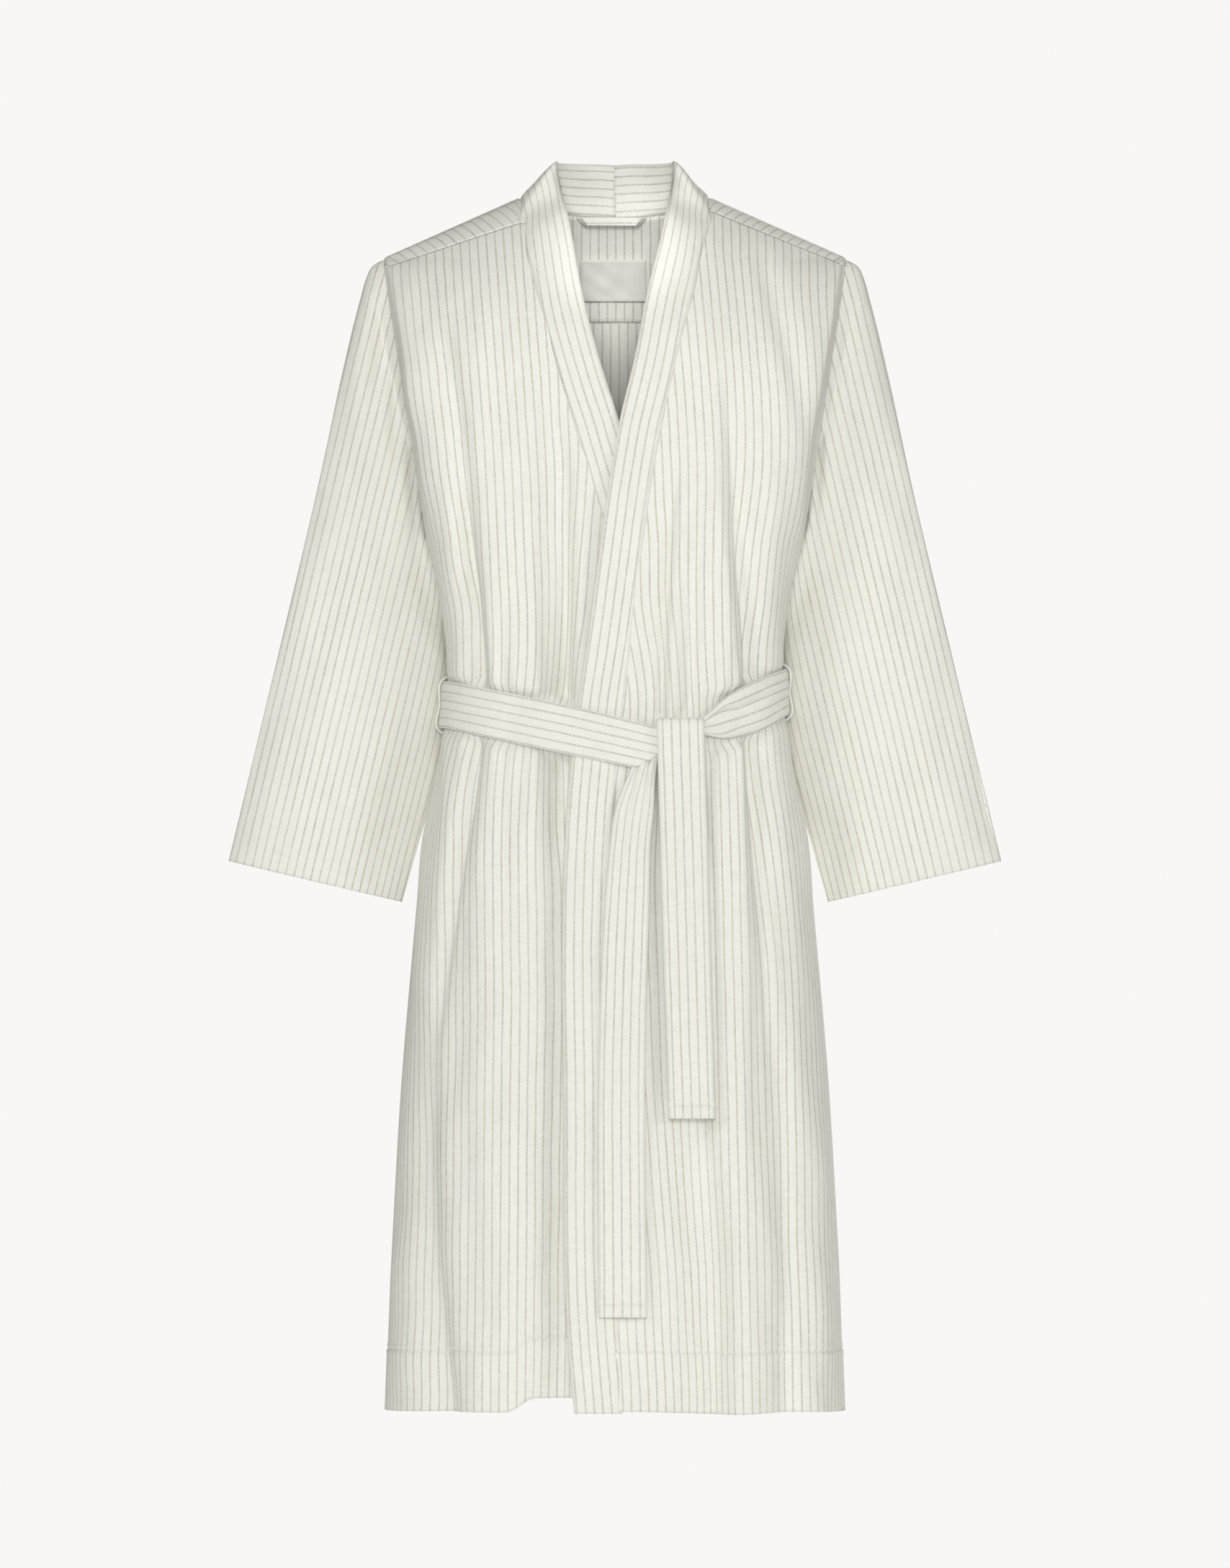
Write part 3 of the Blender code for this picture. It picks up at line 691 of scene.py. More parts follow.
def front_grid(side, seam, folds, stitch_z, anchor, tuck=0.006, dense=420):
    """Points and grain of a front panel, from its band seam out to its side."""
    low = levels(stitch_z)
    shares, share = armhole_shares(low)
    edge_top = float(seam_z(NECK_POINT[0], side))
    edge_z = np.r_[low, UNDERARM_Z + (edge_top - UNDERARM_Z) * shares]
    wide = half_width(np.minimum(edge_z, UNDERARM_Z), share)
    first = np.arcsin(np.clip((seam(edge_z) - side * tuck) / wide, -0.999, 0.999))
    t = np.linspace(0, 1, dense)[None, :]
    theta = first[:, None] + (side * math.pi / 2 - first[:, None]) * t
    x = wide[:, None] * np.sin(theta)
    top = seam_z(ARMHOLE_TOP * np.sin(theta), side)
    z = risen(share[:, None], top, edge_z[:, None])
    sag = ripples(11 + side, 0.16, 0.4)
    z = z + 0.0012 * sag(x, z) * smooth(-0.9, HEM_Z, z)
    if side < 0:
        z = z + UNDERLAP_RISE * smooth(-0.100, -0.074, x) * smooth(-0.93, HEM_Z, z)
        lift = 0.0
    else:
        lift = overlap_lift(x, z)
    y = body_y(x, z, -1, lift, wide[:, None])
    y = y + armhole_curl(np.abs(x) / wide[:, None], z, share[:, None])
    from_seam = np.abs(x - seam(z))
    keep = smooth(0.002, 0.022, from_seam) * smooth(0.0, 0.10, 1 - t) * smooth(-0.02, -0.07, z)
    if side < 0:
        y = y + underlap_recess(x, z) - overlap_folds(x, z)
        keep = keep * smooth(-0.030, -0.048, x)
    else:
        keep = keep * smooth(-0.012, 0.010, x)
    crease = 0.0009 * ripples(31 + side, 0.055, 0.16)(x, z) + gathers(x, z, 50 + side, belt_z(x))
    points, u = draped(x, y, z, -1, folds, keep, crease, anchor(edge_z), PANEL_COLUMNS)
    grain = joined(u * side + side * 0.0040, points[..., 2])
    return facing_out(points, grain, side)


def facing_out(points, grain, side):
    """The grids of a mirrored piece, turned so that their outer face is still outside."""
    return (points, grain) if side > 0 else (points[:, ::-1], grain[:, ::-1])


def underlap_recess(x, z):
    """How much deeper the right front lies where the left front covers it."""
    return 0.0045 * smooth(-0.040, -0.012, x) * smooth(-0.20, -0.30, z)


def armhole_curl(reach, z, share, deep=ARMHOLE_CURL):
    """How far a front's armhole edge turns back, so that it stands over the sleeve."""
    near = smooth(0.972, 1.0, reach) ** 1.2
    return deep * near * armhole_depth(z) / ARMHOLE_HALF_DEPTH * (share > 0)


def ordered(x, y):
    """Pairs sorted so that x only grows, which interpolation needs."""
    order = np.argsort(x, kind="stable")
    return x[order], y[order]


def overlap_lift(x, z):
    """How far the left front stands off the form where it laps over the right front."""
    across = smooth(0.135, 0.080, x) * smooth(-0.100, -0.055, x)
    return OVERLAP_PROUD * across * smooth(-0.050, -0.150, z)


# The neckband's seam and free edge on each front, and the line that the front's stripes
# are laid out from: x over z.
LEFT_SEAM = profile({HEM: 6, -900: 2, -670: -4, -560: -1.5, WAIST: 9.5, -396: 15.4, -327: 23.2,
    -208: 41.1, -123: 59.7, -72: 73, -28: 82.2, -6: 89.5})  # fmt: skip
LEFT_EDGE = profile({HEM: -37.5, -1030: -43.5, -800: -47, -672: -48.5, -550: -44, WAIST: -33.5,
    -389: -24.5, -320: -15.2, -253: -6, -194: 4, -135: 17.9, -79: 28.5, -12.6: 44.4, 20: 50.5,
    45.7: 56.3})  # fmt: skip
RIGHT_SEAM = profile({HEM: 34, WAIST: 30, -288: -10.6, -201.6: -36.5, -135: -55.7, -76.2: -71.6,
    -40: -81, -6: -89})  # fmt: skip
RIGHT_EDGE = profile({HEM: 76, WAIST: 72, -285: 30, -194: 4, -135: -14.6, -73: -30.5, -4: -43.1,
    20: -49, 45.7: -54.5})  # fmt: skip
LEFT_ANCHOR = profile({-31: 83.5, -200: 97.5, -387: 98.5, -480: 102.5, -742: 109.6, HEM: 118})
RIGHT_ANCHOR = profile({-14.5: -110.6, -290: -92, -430: -90, -490: -98.5, -740: -103, HEM: -106})


def back_grid(stitch_z):
    """The back panel: hem to neck and shoulder line, then over onto the front."""
    low = levels(stitch_z)
    shares, share = armhole_shares(low)
    level = np.r_[low, np.full(len(shares), UNDERARM_Z)]
    wide = half_width(level, share)
    theta = np.linspace(math.pi / 2, -math.pi / 2, 900)[None, :]
    x = wide[:, None] * np.sin(theta)
    top_x = ARMHOLE_TOP * np.sin(theta)
    top = np.minimum(ridge_z(top_x), neckline_z(top_x))
    z = risen(share[:, None], top, level[:, None])
    arch = 0.0040 + 0.0120 * bell(x, -0.060, 0.055)
    z = z + arch * smooth(-0.85, HEM_Z, z) * smooth(1.0, 0.9, np.abs(x) / wide[:, None])
    y = body_y(x, z, 1, 0.0, wide[:, None])
    side = np.abs(theta) / (math.pi / 2)
    keep = smooth(1.0, 0.86, side) * smooth(-0.02, -0.12, z)
    crease = 0.0010 * ripples(33, 0.06, 0.18)(x, z) + gathers(x, z, 60, WAIST_Z)
    anchor = np.zeros(len(x))
    points, u = draped(x, y, z, 1, back_folds(), keep, crease, anchor, BACK_COLUMNS)
    return points, joined(-u, points[..., 2])


def shoulder_wrap(points, grain, side):
    """Where the back panel comes over one shoulder, down to the seam on the front."""
    last, cut = points[-1], grain[-1]
    chosen = last[:, 0] * side > NECK_POINT[0] - 0.0065
    last, cut = last[chosen], cut[chosen]
    slope = math.atan2(NECK_POINT[1] - SHOULDER_TIP[1], SHOULDER_TIP[0] - NECK_POINT[0])
    rows, cuts = [], []
    for share in np.linspace(0, 1, 9):
        x = last[:, 0]
        z = ridge_z(x) + (seam_z(x, side) - ridge_z(x)) * share
        y = body_y(x, z, -1, 0.0006, np.full_like(x, ARMHOLE_TOP))
        if share == 0:
            z, y = last[:, 2], last[:, 1]
        reach = np.hypot(z - last[:, 2], y - last[:, 1])
        rows.append(joined(x, y, z))
        lean = side * reach * 1.2 * math.sin(slope)
        cuts.append(joined(cut[:, 0] + lean, cut[:, 1] + reach))
    return np.array(rows), np.array(cuts)


def hemmed(name, points, grain, stem, cotton, inside, sewing):
    """A panel, its turned hem and the hem's stitches, whose names begin with stem."""
    above = points[..., 2] - points[:1, :, 2]
    row = int(np.argmin(np.abs(above.mean(axis=1) - HEM_DEPTH))) + 2
    relief = hem_relief(above, HEM_DEPTH)
    panel, outer, normal = plain(name, points, grain, cotton, relief=relief)
    layer = (points - normals_of(points) * (CLOTH + 0.0004))[1:row, 2:-2]
    hem, _, _ = plain(f"{stem}_hem", layer, grain[1:row, 2:-2], inside)
    line, away = (level_line(g, above, HEM_DEPTH) for g in (outer, normal))
    return panel, hem, stitches(f"{stem}_hem_stitches", line, away, "robe", sewing)


def build_panels(cotton, inside, sewing):
    """Both fronts and the back, with their turned hems and inner seams."""
    for side, name, seam, folds, anchor, stitch_z in (
        (1, "left_front", LEFT_SEAM, LEFT_FOLDS, LEFT_ANCHOR, HEM_Z + HEM_DEPTH),
        (-1, "right_front", RIGHT_SEAM, RIGHT_FOLDS, RIGHT_ANCHOR, HEM_Z + HEM_DEPTH + 0.004),
    ):
        points, grain = front_grid(side, seam, folds, stitch_z, anchor)
        panel, *parts = hemmed(f"{name}_panel", points, grain, name, cotton, inside, sewing)
    points, grain = back_grid(HEM_Z + HEM_DEPTH)
    panel, *parts = hemmed("back_panel", points, grain, "back", cotton, inside, sewing)
    for side, name in SIDES:
        wrap, cut = shoulder_wrap(points, grain, side)
        thin = np.broadcast_to(np.linspace(0, 1, len(wrap))[:, None] ** 4, wrap.shape[:2])
        piece, face, away = cloth(f"{name}_shoulder_wrap", wrap, cut, cotton, relief=-0.0006 * thin)
        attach(piece, "robe")
        line = between(face, face.shape[0] - 1.6, 0)
        sewn = stitches(f"{name}_shoulder_stitches", line, away[-2], "robe", sewing)
        parts += [piece, sewn, *inner_seams(name, side, points, grain, wrap, cut, inside)]


def inner_seams(name, side, points, grain, wrap, cut, inside):
    """The neatened seam allowances inside one side seam and one shoulder seam."""
    low, high = (
        int(np.argmin(np.abs(points[:, 0, 2] - z)))
        for z in (HEM_Z + HEM_DEPTH + 0.006, UNDERARM_Z - 0.008)
    )
    strip = slice(low, high, 3), slice(1, 7) if side > 0 else slice(-7, -1)
    shoulder = slice(-4, None), slice(8, -8)
    return [
        plain(
            f"{name}_{seam}_seam", grid[part] - normals_of(grid)[part] * (CLOTH + inwards) - drop,
            flat[part], inside, thickness=0.0007,
        )[0]
        for seam, grid, flat, part, inwards, drop in (
            ("side", points, grain, strip, 0.0006, 0.0),
            ("shoulder", wrap, cut, shoulder, 0.0008, np.array([0.0, 0.0, 0.006])),
        )
    ]  # fmt: skip


# ---------------------------------------------------------------- neck


def neck_ring(side):
    """Seam and free edge of the neckband from the shoulder seam to the centre back."""
    ring = []
    for z, free in ((0.0050, (0.0545, -0.0765, 0.0462)), (0.0138, (0.0535, -0.0640, 0.0485))):
        y = float(body_y(NECK_POINT[0], z, -1, 0.0012, SHOULDER_TIP[0]))
        ring.append(((NECK_POINT[0] - 0.0032, y, z + 0.0006), free))
    for seam_x, free_x in ((0.078, 0.0505), (0.060, 0.0400), (0.038, 0.0270), (0.018, 0.0130)):
        z = float(neckline_z(seam_x))
        y = float(inside_back(seam_x, z))
        ring.append(((seam_x, y, z - 0.0022), (free_x, y + 0.0015, 0.0475)))
    y = float(inside_back(0.0, 0.0))
    ring.append(((-0.0006, y, -0.0022), (-0.0006, y + 0.0015, 0.0465)))
    flip = np.array([side, 1, 1])
    return [(np.array(a) * flip, np.array(b) * flip) for a, b in ring]


def band_grid(side, seam, edge, columns=13):
    """The neckband's middle surface: up one front, round the neck, to the centre back."""
    shares = np.linspace(0, 1, columns)
    control = []
    for z in np.r_[np.arange(HEM_Z, -0.06, 0.022), [-0.050, -0.028, -0.006]]:
        rise = curve((-0.45, 0.0), (-0.25, 0.008), (-0.10, 0.014), (-0.03, 0.026), (-0.006, 0.034))
        free_z = z + float(rise(z))
        free_x, seam_x = float(edge(free_z)), float(seam(z))
        x = free_x + (seam_x - free_x) * shares
        height = free_z + (z - free_z) * shares
        if side < 0:
            height = height + UNDERLAP_RISE * smooth(-0.93, HEM_Z, z)
        lift = overlap_lift(x, height) if side > 0 else np.zeros_like(x)
        y = body_y(x, height, -1, 0.0006 + lift)
        y = y - 0.010 * smooth(0.0, 0.045, height) * smooth(0.6, 0.0, shares)
        if side < 0:
            y = y + underlap_recess(x, height) - overlap_folds(x, height)
        control.append(joined(x, y, height))
    for a, b in neck_ring(side):
        control.append(b[None, :] + (a - b)[None, :] * shares[:, None])
    points = through(np.array(control), 330)
    ripple = ripples(71 + side, 0.05, 0.10)
    along = np.r_[0, np.cumsum(np.linalg.norm(np.diff(points.mean(axis=1), axis=0), axis=1))]
    width = np.linalg.norm(points[:, -1] - points[:, 0], axis=1)[:, None]
    u = shares * width
    v = np.broadcast_to(along[:, None], points.shape[:2])
    points = points + normals_of(points) * (0.0005 * ripple(u, v))[..., None]
    grain = joined(u + 0.0055 + (0.0035 if side > 0 else 0.0), v)
    return facing_out(points, grain, side)


def build_neck(cotton, label, sewing):
    for (side, name), lines in zip(SIDES, ((LEFT_SEAM, LEFT_EDGE), (RIGHT_SEAM, RIGHT_EDGE))):
        points, grain = band_grid(side, *lines)
        columns = points.shape[1]
        seam_column = columns - 1 - 0.7 if side > 0 else 0.7
        from_seam = np.abs(np.arange(columns) - seam_column)
        relief = np.broadcast_to(-0.00045 * np.exp(-(from_seam**2) / 0.3), points.shape[:2])
        band, outer, normal = plain(
            f"{name}_neckband", points, grain, cotton,
            thickness=BAND_THICKNESS, rounded=True, relief=relief,
        )  # fmt: skip
        line, away = (between(g, seam_column, 1) for g in (outer, normal))
        sewn = stitches(f"{name}_neckband_stitches", line, away, "robe", sewing)
    build_facing(cotton, sewing)
    build_label(label, sewing)
    build_loop(cotton)


def inside_back(x, z, inwards=0.0):
    """Depth of a layer that lies that far inside the back panel."""
    return body_y(x, z, 1, 0.0, SHOULDER_TIP[0]) - inwards


def front_stitches(name, line, lift, sewing):
    """Stitches along a line of points on a piece that faces the front."""
    line = line + np.array([0, -lift, 0])
    return stitches(name, line, np.tile([0.0, -1.0, 0.0], (len(line), 1)), "robe", sewing)


def build_facing(cotton, sewing):
    s, t = np.meshgrid(np.linspace(1, -1, 41), np.linspace(1, 0, 31))
    half, deep, corner = 0.072, 0.0975, 0.010
    drop = 0.0035 + (deep - 0.0035) * t
    inset = corner - np.sqrt(np.maximum(0, corner**2 - np.maximum(0, drop - deep + corner) ** 2))
    x = (half - inset) * s
    z = neckline_z(x) * (1 - t) - drop
    y = inside_back(x, z, CLOTH + 0.0012 + 0.0012 * smooth(0.4, 1.0, t))
    points = joined(x, y, z)
    grain = joined(x + 0.0031, z)
    facing, _, _ = plain("back_neck_facing", points, grain, cotton, thickness=0.0008)
    sewn = front_stitches("facing_stitches", points[1], 0.0007, sewing)


def build_label(label, sewing):
    lo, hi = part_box("neck_label")
    s, t = np.meshgrid(np.linspace(1, -1, 33), np.linspace(0, 1, 21))
    x = s * (hi.x - lo.x) / 2 - 0.0016
    z = lo.z + (hi.z - lo.z) * t
    curl = 0.0006 * ripples(5, 0.03, 0.03)(x, z) + 0.0012 * np.abs(s) ** 6
    points = joined(x, inside_back(x, z, CLOTH + 0.0062) - curl, z)
    grain = joined(x, z)
    piece, _, _ = plain("neck_label", points, grain, label, thickness=0.0006)
    sewn = [
        front_stitches(f"label_stitches_{k}", points[1:-1, column], 0.0005, sewing)
        for k, column in enumerate((1, 31))
    ]


def build_loop(cotton):
    """The hanger loop: a folded tape whose mitred ends go up into the neck seam."""
    lo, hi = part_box("hanger_loop")
    s, t = np.meshgrid(np.linspace(1, -1, 61), np.linspace(0, 1, 9))
    mitre = 0.0075 * (1 - t) * np.sign(s) * smooth(0.55, 1.0, np.abs(s))
    x = s * LOOP_HALF - mitre - 0.0032
    hang = smooth(1.0, 0.80, np.abs(s))
    z = hi.z + 0.0012 - 0.0076 * (1 - t) - 0.0004 * hang * (1 + s * 0.5)
    y = lo.y + 0.0012 + (1 - hang) * 0.0045 + 0.0006 * np.sin(5 * s)
    points = joined(x, y, z)[:, ::-1]
    grain = joined(t * 0.0076 + 0.0016, x)[:, ::-1]
    piece, _, _ = plain("hanger_loop", points, grain, cotton, body="hanger_loop", thickness=0.0018)


# ---------------------------------------------------------------- sleeves


SLEEVE_OUTER = (
    (0.2065, -0.0414), (0.2165, -0.0442), (0.2244, -0.0494), (0.2290, -0.0590),
    (0.2345, -0.0780), (0.2525, -0.1520), (0.2712, -0.2400), (0.3088, -0.4000),
    (0.3563, -0.5978),
)  # fmt: skip
SLEEVE_INNER = (
    (0.1670, -0.3000), (0.1610, -0.3450), (0.1535, -0.4000), (0.1510, -0.4450),
    (0.1560, -0.4950), (0.1760, -0.5600), (0.1973, -0.6354),
)  # fmt: skip


def sleeve_edge(corners, t, count=800):
    """Places on one of the sleeve's folded edges, at shares t of its length."""
    line = through(corners, count)
    return joined(*(np.interp(t, np.linspace(0, 1, count), line[:, k]) for k in (0, 1)))


def sleeve_grid(side, inwards=0.0, first=0.0, rows=150, columns=97):
    """A flattened tube from armhole to cuff, its first column on the outer fold."""
    down = np.array([math.sin(SLEEVE_TILT), 0, -math.cos(SLEEVE_TILT)])
    across = np.array([-math.cos(SLEEVE_TILT), 0, -math.sin(SLEEVE_TILT)])
    t = np.linspace(first, 1, rows)
    if first == 0:
        beside = [-0.006, -0.0035, -0.0015, 0.0, 0.0015, 0.0035, 0.006]
        t = np.sort(np.r_[t, CUFF_STITCH + np.array(beside)])
    outer, inner = (sleeve_edge(corners, t) for corners in (SLEEVE_OUTER, SLEEVE_INNER))
    angle = np.linspace(0, 2 * math.pi, columns)
    share = ((1 - np.cos(angle)) / 2)[None, :]
    turn = np.sin(angle)[None, :]
    place = outer[:, None, :] * (1 - share[..., None]) + inner[:, None, :] * share[..., None]
    width = np.linalg.norm(outer - inner, axis=1)[:, None]
    place = place + (0.5 - share)[..., None] * (outer - inner)[:, None, :] * (
        -2 * inwards / width[..., None]
    )
    t = t[:, None]
    near_armhole = smooth(0.07, 0.0, t)
    at_armhole = ARMHOLE_HALF_DEPTH - np.where(turn > 0, ARMHOLE_CURL + 0.0006, 0.0)
    deep = 0.0290 - 0.0090 * smooth(0.0, 0.45, t)
    deep = deep + (at_armhole - deep) * near_armhole - inwards
    power = 1 + 0.35 * smooth(0.0, 0.25, t)
    depth = deep * np.sign(turn) * np.abs(turn) ** power
    front = smooth(0.0, 0.35, turn)
    along = place @ down[[0, 2]]
    fall = along - along[:1]
    soft = 0.0014 * ripples(81 + side, 0.08, 0.24)(place @ across[[0, 2]], along)
    fold = soft * np.sign(turn) - sleeve_folds(share, t, front)
    fold = fold * smooth(0.0, 0.02, t) * smooth(1.0, 0.96, t) * smooth(0.0, 0.20, np.abs(turn))
    back = 0.0300 * share**2 * smooth(0.10, 0.32, t) * (1 - 0.65 * smooth(0.72, 1.0, t))
    tall = 0.0250 if side < 0 else 0.0130
    beside = smooth(0.0, 0.022, np.abs(fall)) * smooth(0.15, 0.0, np.abs(fall)) ** 1.2
    valley = tall * front * smooth(0.04, 0.30, share) * beside * smooth(0.60, 0.40, t)
    y = SIDE_Y + 0.002 * smooth(0, 0.3, t) - depth - fold + back + valley
    points = joined(place[..., 0], y, place[..., 1])
    grain = sleeve_grain(points, across, down)
    points[..., 0] *= side
    return facing_out(points, grain, side)


def sleeve_folds(share, t, front):
    """A broad hollow below the armhole and three small pleats that fan out of it."""
    fold = 0.0050 * front * bell(share, 0.80 - 0.10 * t, 0.13) * bell(t, 0.20, 0.22)
    for at, lean, tall in ((0.30, 0.30, 0.0030), (0.52, 0.34, 0.0028), (0.74, 0.16, 0.0026)):
        pleat = bell(share, at + 0.10 + lean * t, 0.045) - bell(share, at + lean * t, 0.050)
        fold = fold + tall * front * pleat * bell(t, 0.06, 0.09)
    return fold


def sleeve_grain(points, across, down):
    """u round the sleeve at right angles to its length, from the outer fold, and v."""
    place = points @ across
    row = len(points) * 3 // 5
    level = place[row] - place[row, 0]
    step = np.hypot(np.diff(place[row]), np.diff(points[row, :, 1]))
    longer = np.r_[0, np.cumsum(step)] - np.where(
        np.arange(len(level)) > len(level) // 2, 2 * level.max() - level, level
    )
    from_outer = place - place[-1:, :1]
    half = (points.shape[1] - 1) // 2
    turned = np.arange(points.shape[1]) > half
    u = np.where(turned[None, :], 2 * from_outer[:, half : half + 1] - from_outer, from_outer)
    return joined(u + longer[None, :] + 0.0021, -(points @ down))


def build_sleeves(cotton, inside, sewing):
    for side, name in SIDES:
        body = f"{name}_sleeve"
        points, grain = (g[::-1] for g in sleeve_grid(side))
        down = np.array([side * math.sin(SLEEVE_TILT), 0, -math.cos(SLEEVE_TILT)])
        above = (points[:1] - points) @ down
        relief = hem_relief(above, CUFF_HEM_DEPTH)
        sleeve, outer, normal = cloth(body, points, grain, cotton, closed=True, relief=relief)
        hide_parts(body)
        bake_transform(sleeve)
        line, away = (level_line(g, above, CUFF_HEM_DEPTH) for g in (outer, normal))
        sewn = stitches(f"{body}_hem_stitches", line, away, body, sewing)
        turned, cut = sleeve_grid(side, inwards=CLOTH + 0.0006, first=CUFF_STITCH, rows=14)
        hem, _, _ = plain(f"{body}_hem", turned[::-1], cut[::-1], inside, body=body, closed=True)


# ---------------------------------------------------------------- belt


def near_knot(x):
    """1 at the knot, where the layers cross and the belt stands further off."""
    return smooth(0.060, 0.012, np.abs(x - KNOT_X))


def left_strap(share, x):
    """Height and depth across the left strap, whose lower edge rolls under at the knot."""
    roll = 0.0017
    z = LEFT_STRAP_TOP(x) + (LEFT_STRAP_LOW(x) - LEFT_STRAP_TOP(x)) * share
    edge = LEFT_STRAP_ROLL(x) + roll
    past = np.maximum(0, edge - z)
    angle = np.minimum(past / roll, math.pi)
    rolled = edge - roll * np.sin(angle) + np.maximum(0, past - math.pi * roll)
    return np.where(past > 0, rolled, z), -roll * (1 - np.cos(angle))


def right_strap(share, x):
    """Height and depth across the right strap, gathered into a few pleats at the knot."""
    gather = smooth(0.118, 0.083, x)
    bunched = np.interp(share, (0, 0.20, 0.375, 0.59, 0.79, 1), (0, 0.10, 0.17, 0.56, 0.93, 1))
    place = share + (bunched - share) * gather
    z = RIGHT_STRAP_TOP(x) + (RIGHT_STRAP_LOW(x) - RIGHT_STRAP_TOP(x)) * place
    open_up = smooth(0.165, 0.125, x)
    petal = 0.0030 * np.sin(math.pi * np.clip(share / 0.38, 0, 1)) * open_up
    belly = 0.0030 * np.sin(math.pi * np.clip((share - 0.38) / 0.62, 0, 1)) * open_up
    crease = -0.0010 * bell(share, 0.38, 0.05) * open_up
    under = -0.0020 * smooth(0.90, 1.0, share) * open_up
    return z, petal + belly + crease + under


def belt_grid(rows=460, columns=25):
    """The belt from inside the knot, round the left side and the back, to the knot again."""
    reach = 0.1560
    start, stop = -math.asin(0.0520 / reach), 2 * math.pi - math.asin(0.0680 / reach)
    share = np.linspace(0, 1, columns)
    points = np.empty((rows, columns, 3))
    for r, a in enumerate(np.linspace(start, stop, rows)):
        x_mid = -0.1600 * math.sin(a)
        on_front = math.cos(a) > 0
        across, depth = (left_strap if a < math.pi else right_strap)(share, x_mid)
        top = BELT_SIDE_TOP[-1 if a < math.pi else 1]
        level = top + (WAIST_Z + BELT_WIDTH / 2 - top) * smooth(0.0, -0.5, math.cos(a))
        z = across if on_front else level - share * BELT_WIDTH
        wide = half_width(z) + 0.0046
        x = -wide * math.sin(a)
        lift = overlap_lift(x, z) + 0.0050 * near_knot(x) if on_front else 0.0 * x
        y = body_y(x, z, -1 if on_front else 1, 0.0046 + lift, wide)
        normal = joined(x / wide**2, (y - SIDE_Y) / 0.09**2, 0 * x)
        normal /= np.linalg.norm(normal, axis=1, keepdims=True)
        bow = 0.0008 * (1 - (2 * share - 1) ** 2) + (depth if on_front else 0.0)
        points[r] = joined(x, y, z) + normal * bow[:, None]
    grain = belt_grain(points, share * BELT_WIDTH + 0.0022)
    wave = 0.0005 * ripples(91, 0.03, 0.07)(grain[..., 0], grain[..., 1])
    return points + normals_of(points) * wave[..., None], grain


def belt_grain(points, across):
    """u from its values across the belt, and v along its middle."""
    step = np.linalg.norm(np.diff(points[:, points.shape[1] // 2], axis=0), axis=1)
    v = np.r_[0, np.cumsum(step)][:, None] + 0 * points[..., 0]
    return joined(np.broadcast_to(across, v.shape), v)


# Each hanging end's middle x, half width and stand-off over z, what these three come to at
# the very end, and the seed of its twist.
TAILS = {
    "short": (
        {-700: 66.5, -580: 63.2, KNOT_TOP: KNOT_X * 1000},
        {-600: 21.9, KNOT_TOP: 21.8},
        {-720: 3.5, -600: 6, -510: 11, KNOT_TOP: 13.8},
        (70.5, 21.2, 4.0), 97,
    ),
    "long": (
        {-757: 6.6, -620: 11.8, -576.6: 14.5, -549.6: 18, -513: 26.2, -494: 31},
        {-757: 21.3, -620: 20.2, -576.6: 18.8, -549.6: 18.2, -513: 12.4, -494: 10},
        {-757: 3.5, -600: 4, -530: 3.4, -494: 1.2},
        (7.0, 22.2, 3.0), 99,
    ),
}  # fmt: skip


def tail_grid(kind, rows, columns=13):
    """A hanging belt end, from its middle's x, its half width and its stand-off over z."""
    share = np.linspace(-1, 1, columns)
    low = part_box(f"belt_tail_{kind}_hem")[0].z
    *tables, ends, seed = TAILS[kind]
    middle, half, off = (
        profile({low * 1000: end, **table}) for end, table in zip(ends, tables)
    )
    beside = low + TAIL_HEM + np.array([-0.002, -0.001, 0.0, 0.001, 0.002])
    z_rows = np.sort(np.r_[np.linspace(low, max(tables[0]) / 1000, rows), beside])
    points = np.empty((len(z_rows), columns, 3))
    twist = ripples(seed, 0.5, 0.22)
    for r, z in enumerate(z_rows):
        wide, x = float(half(z)), float(middle(z))
        xs, zs = x + wide * share, np.full(columns, z)
        face = body_y(xs, zs, -1, overlap_lift(xs, zs) + float(off(z)) + 0.0024)
        flat = face.min() + 0.3 * (face - face.min())
        cup = -0.30 * max(0.0, 0.0215 - wide) * np.cos(2.5 * math.pi * share + 0.6)
        y = flat + cup - 0.0012 * twist(xs * 0, z) * share
        points[r] = joined(xs, y, zs)
    return points, share


def roll_over(points, radius=0.0042, back=0.018):
    """Carries the short tail over the top of the tie and down behind it."""
    turn = np.linspace(0, math.pi, 9)[1:]
    down = np.linspace(0, back, 7)[1:]
    y = np.r_[radius * (1 - np.cos(turn)), np.full(len(down), 2 * radius)]
    z = np.r_[radius * 0.8 * np.sin(turn), -down]
    extra = points[-1] + joined(0 * y, y, z)[:, None, :]
    return np.concatenate([points, extra])


def tail_relief(points, low, share):
    """The puffed blocks of the stitched end hem."""
    above = points[..., 2] - low
    block = smooth(TAIL_HEM, TAIL_HEM - 0.003, above) * smooth(-0.001, 0.002, above)
    puff = 0.0008 + 0.0006 * np.cos(share[None, :] * BELT_WIDTH * math.pi / STRIPE_PITCH)
    groove = -0.0006 * bell(above, TAIL_HEM, 0.0011)
    return block * puff + groove


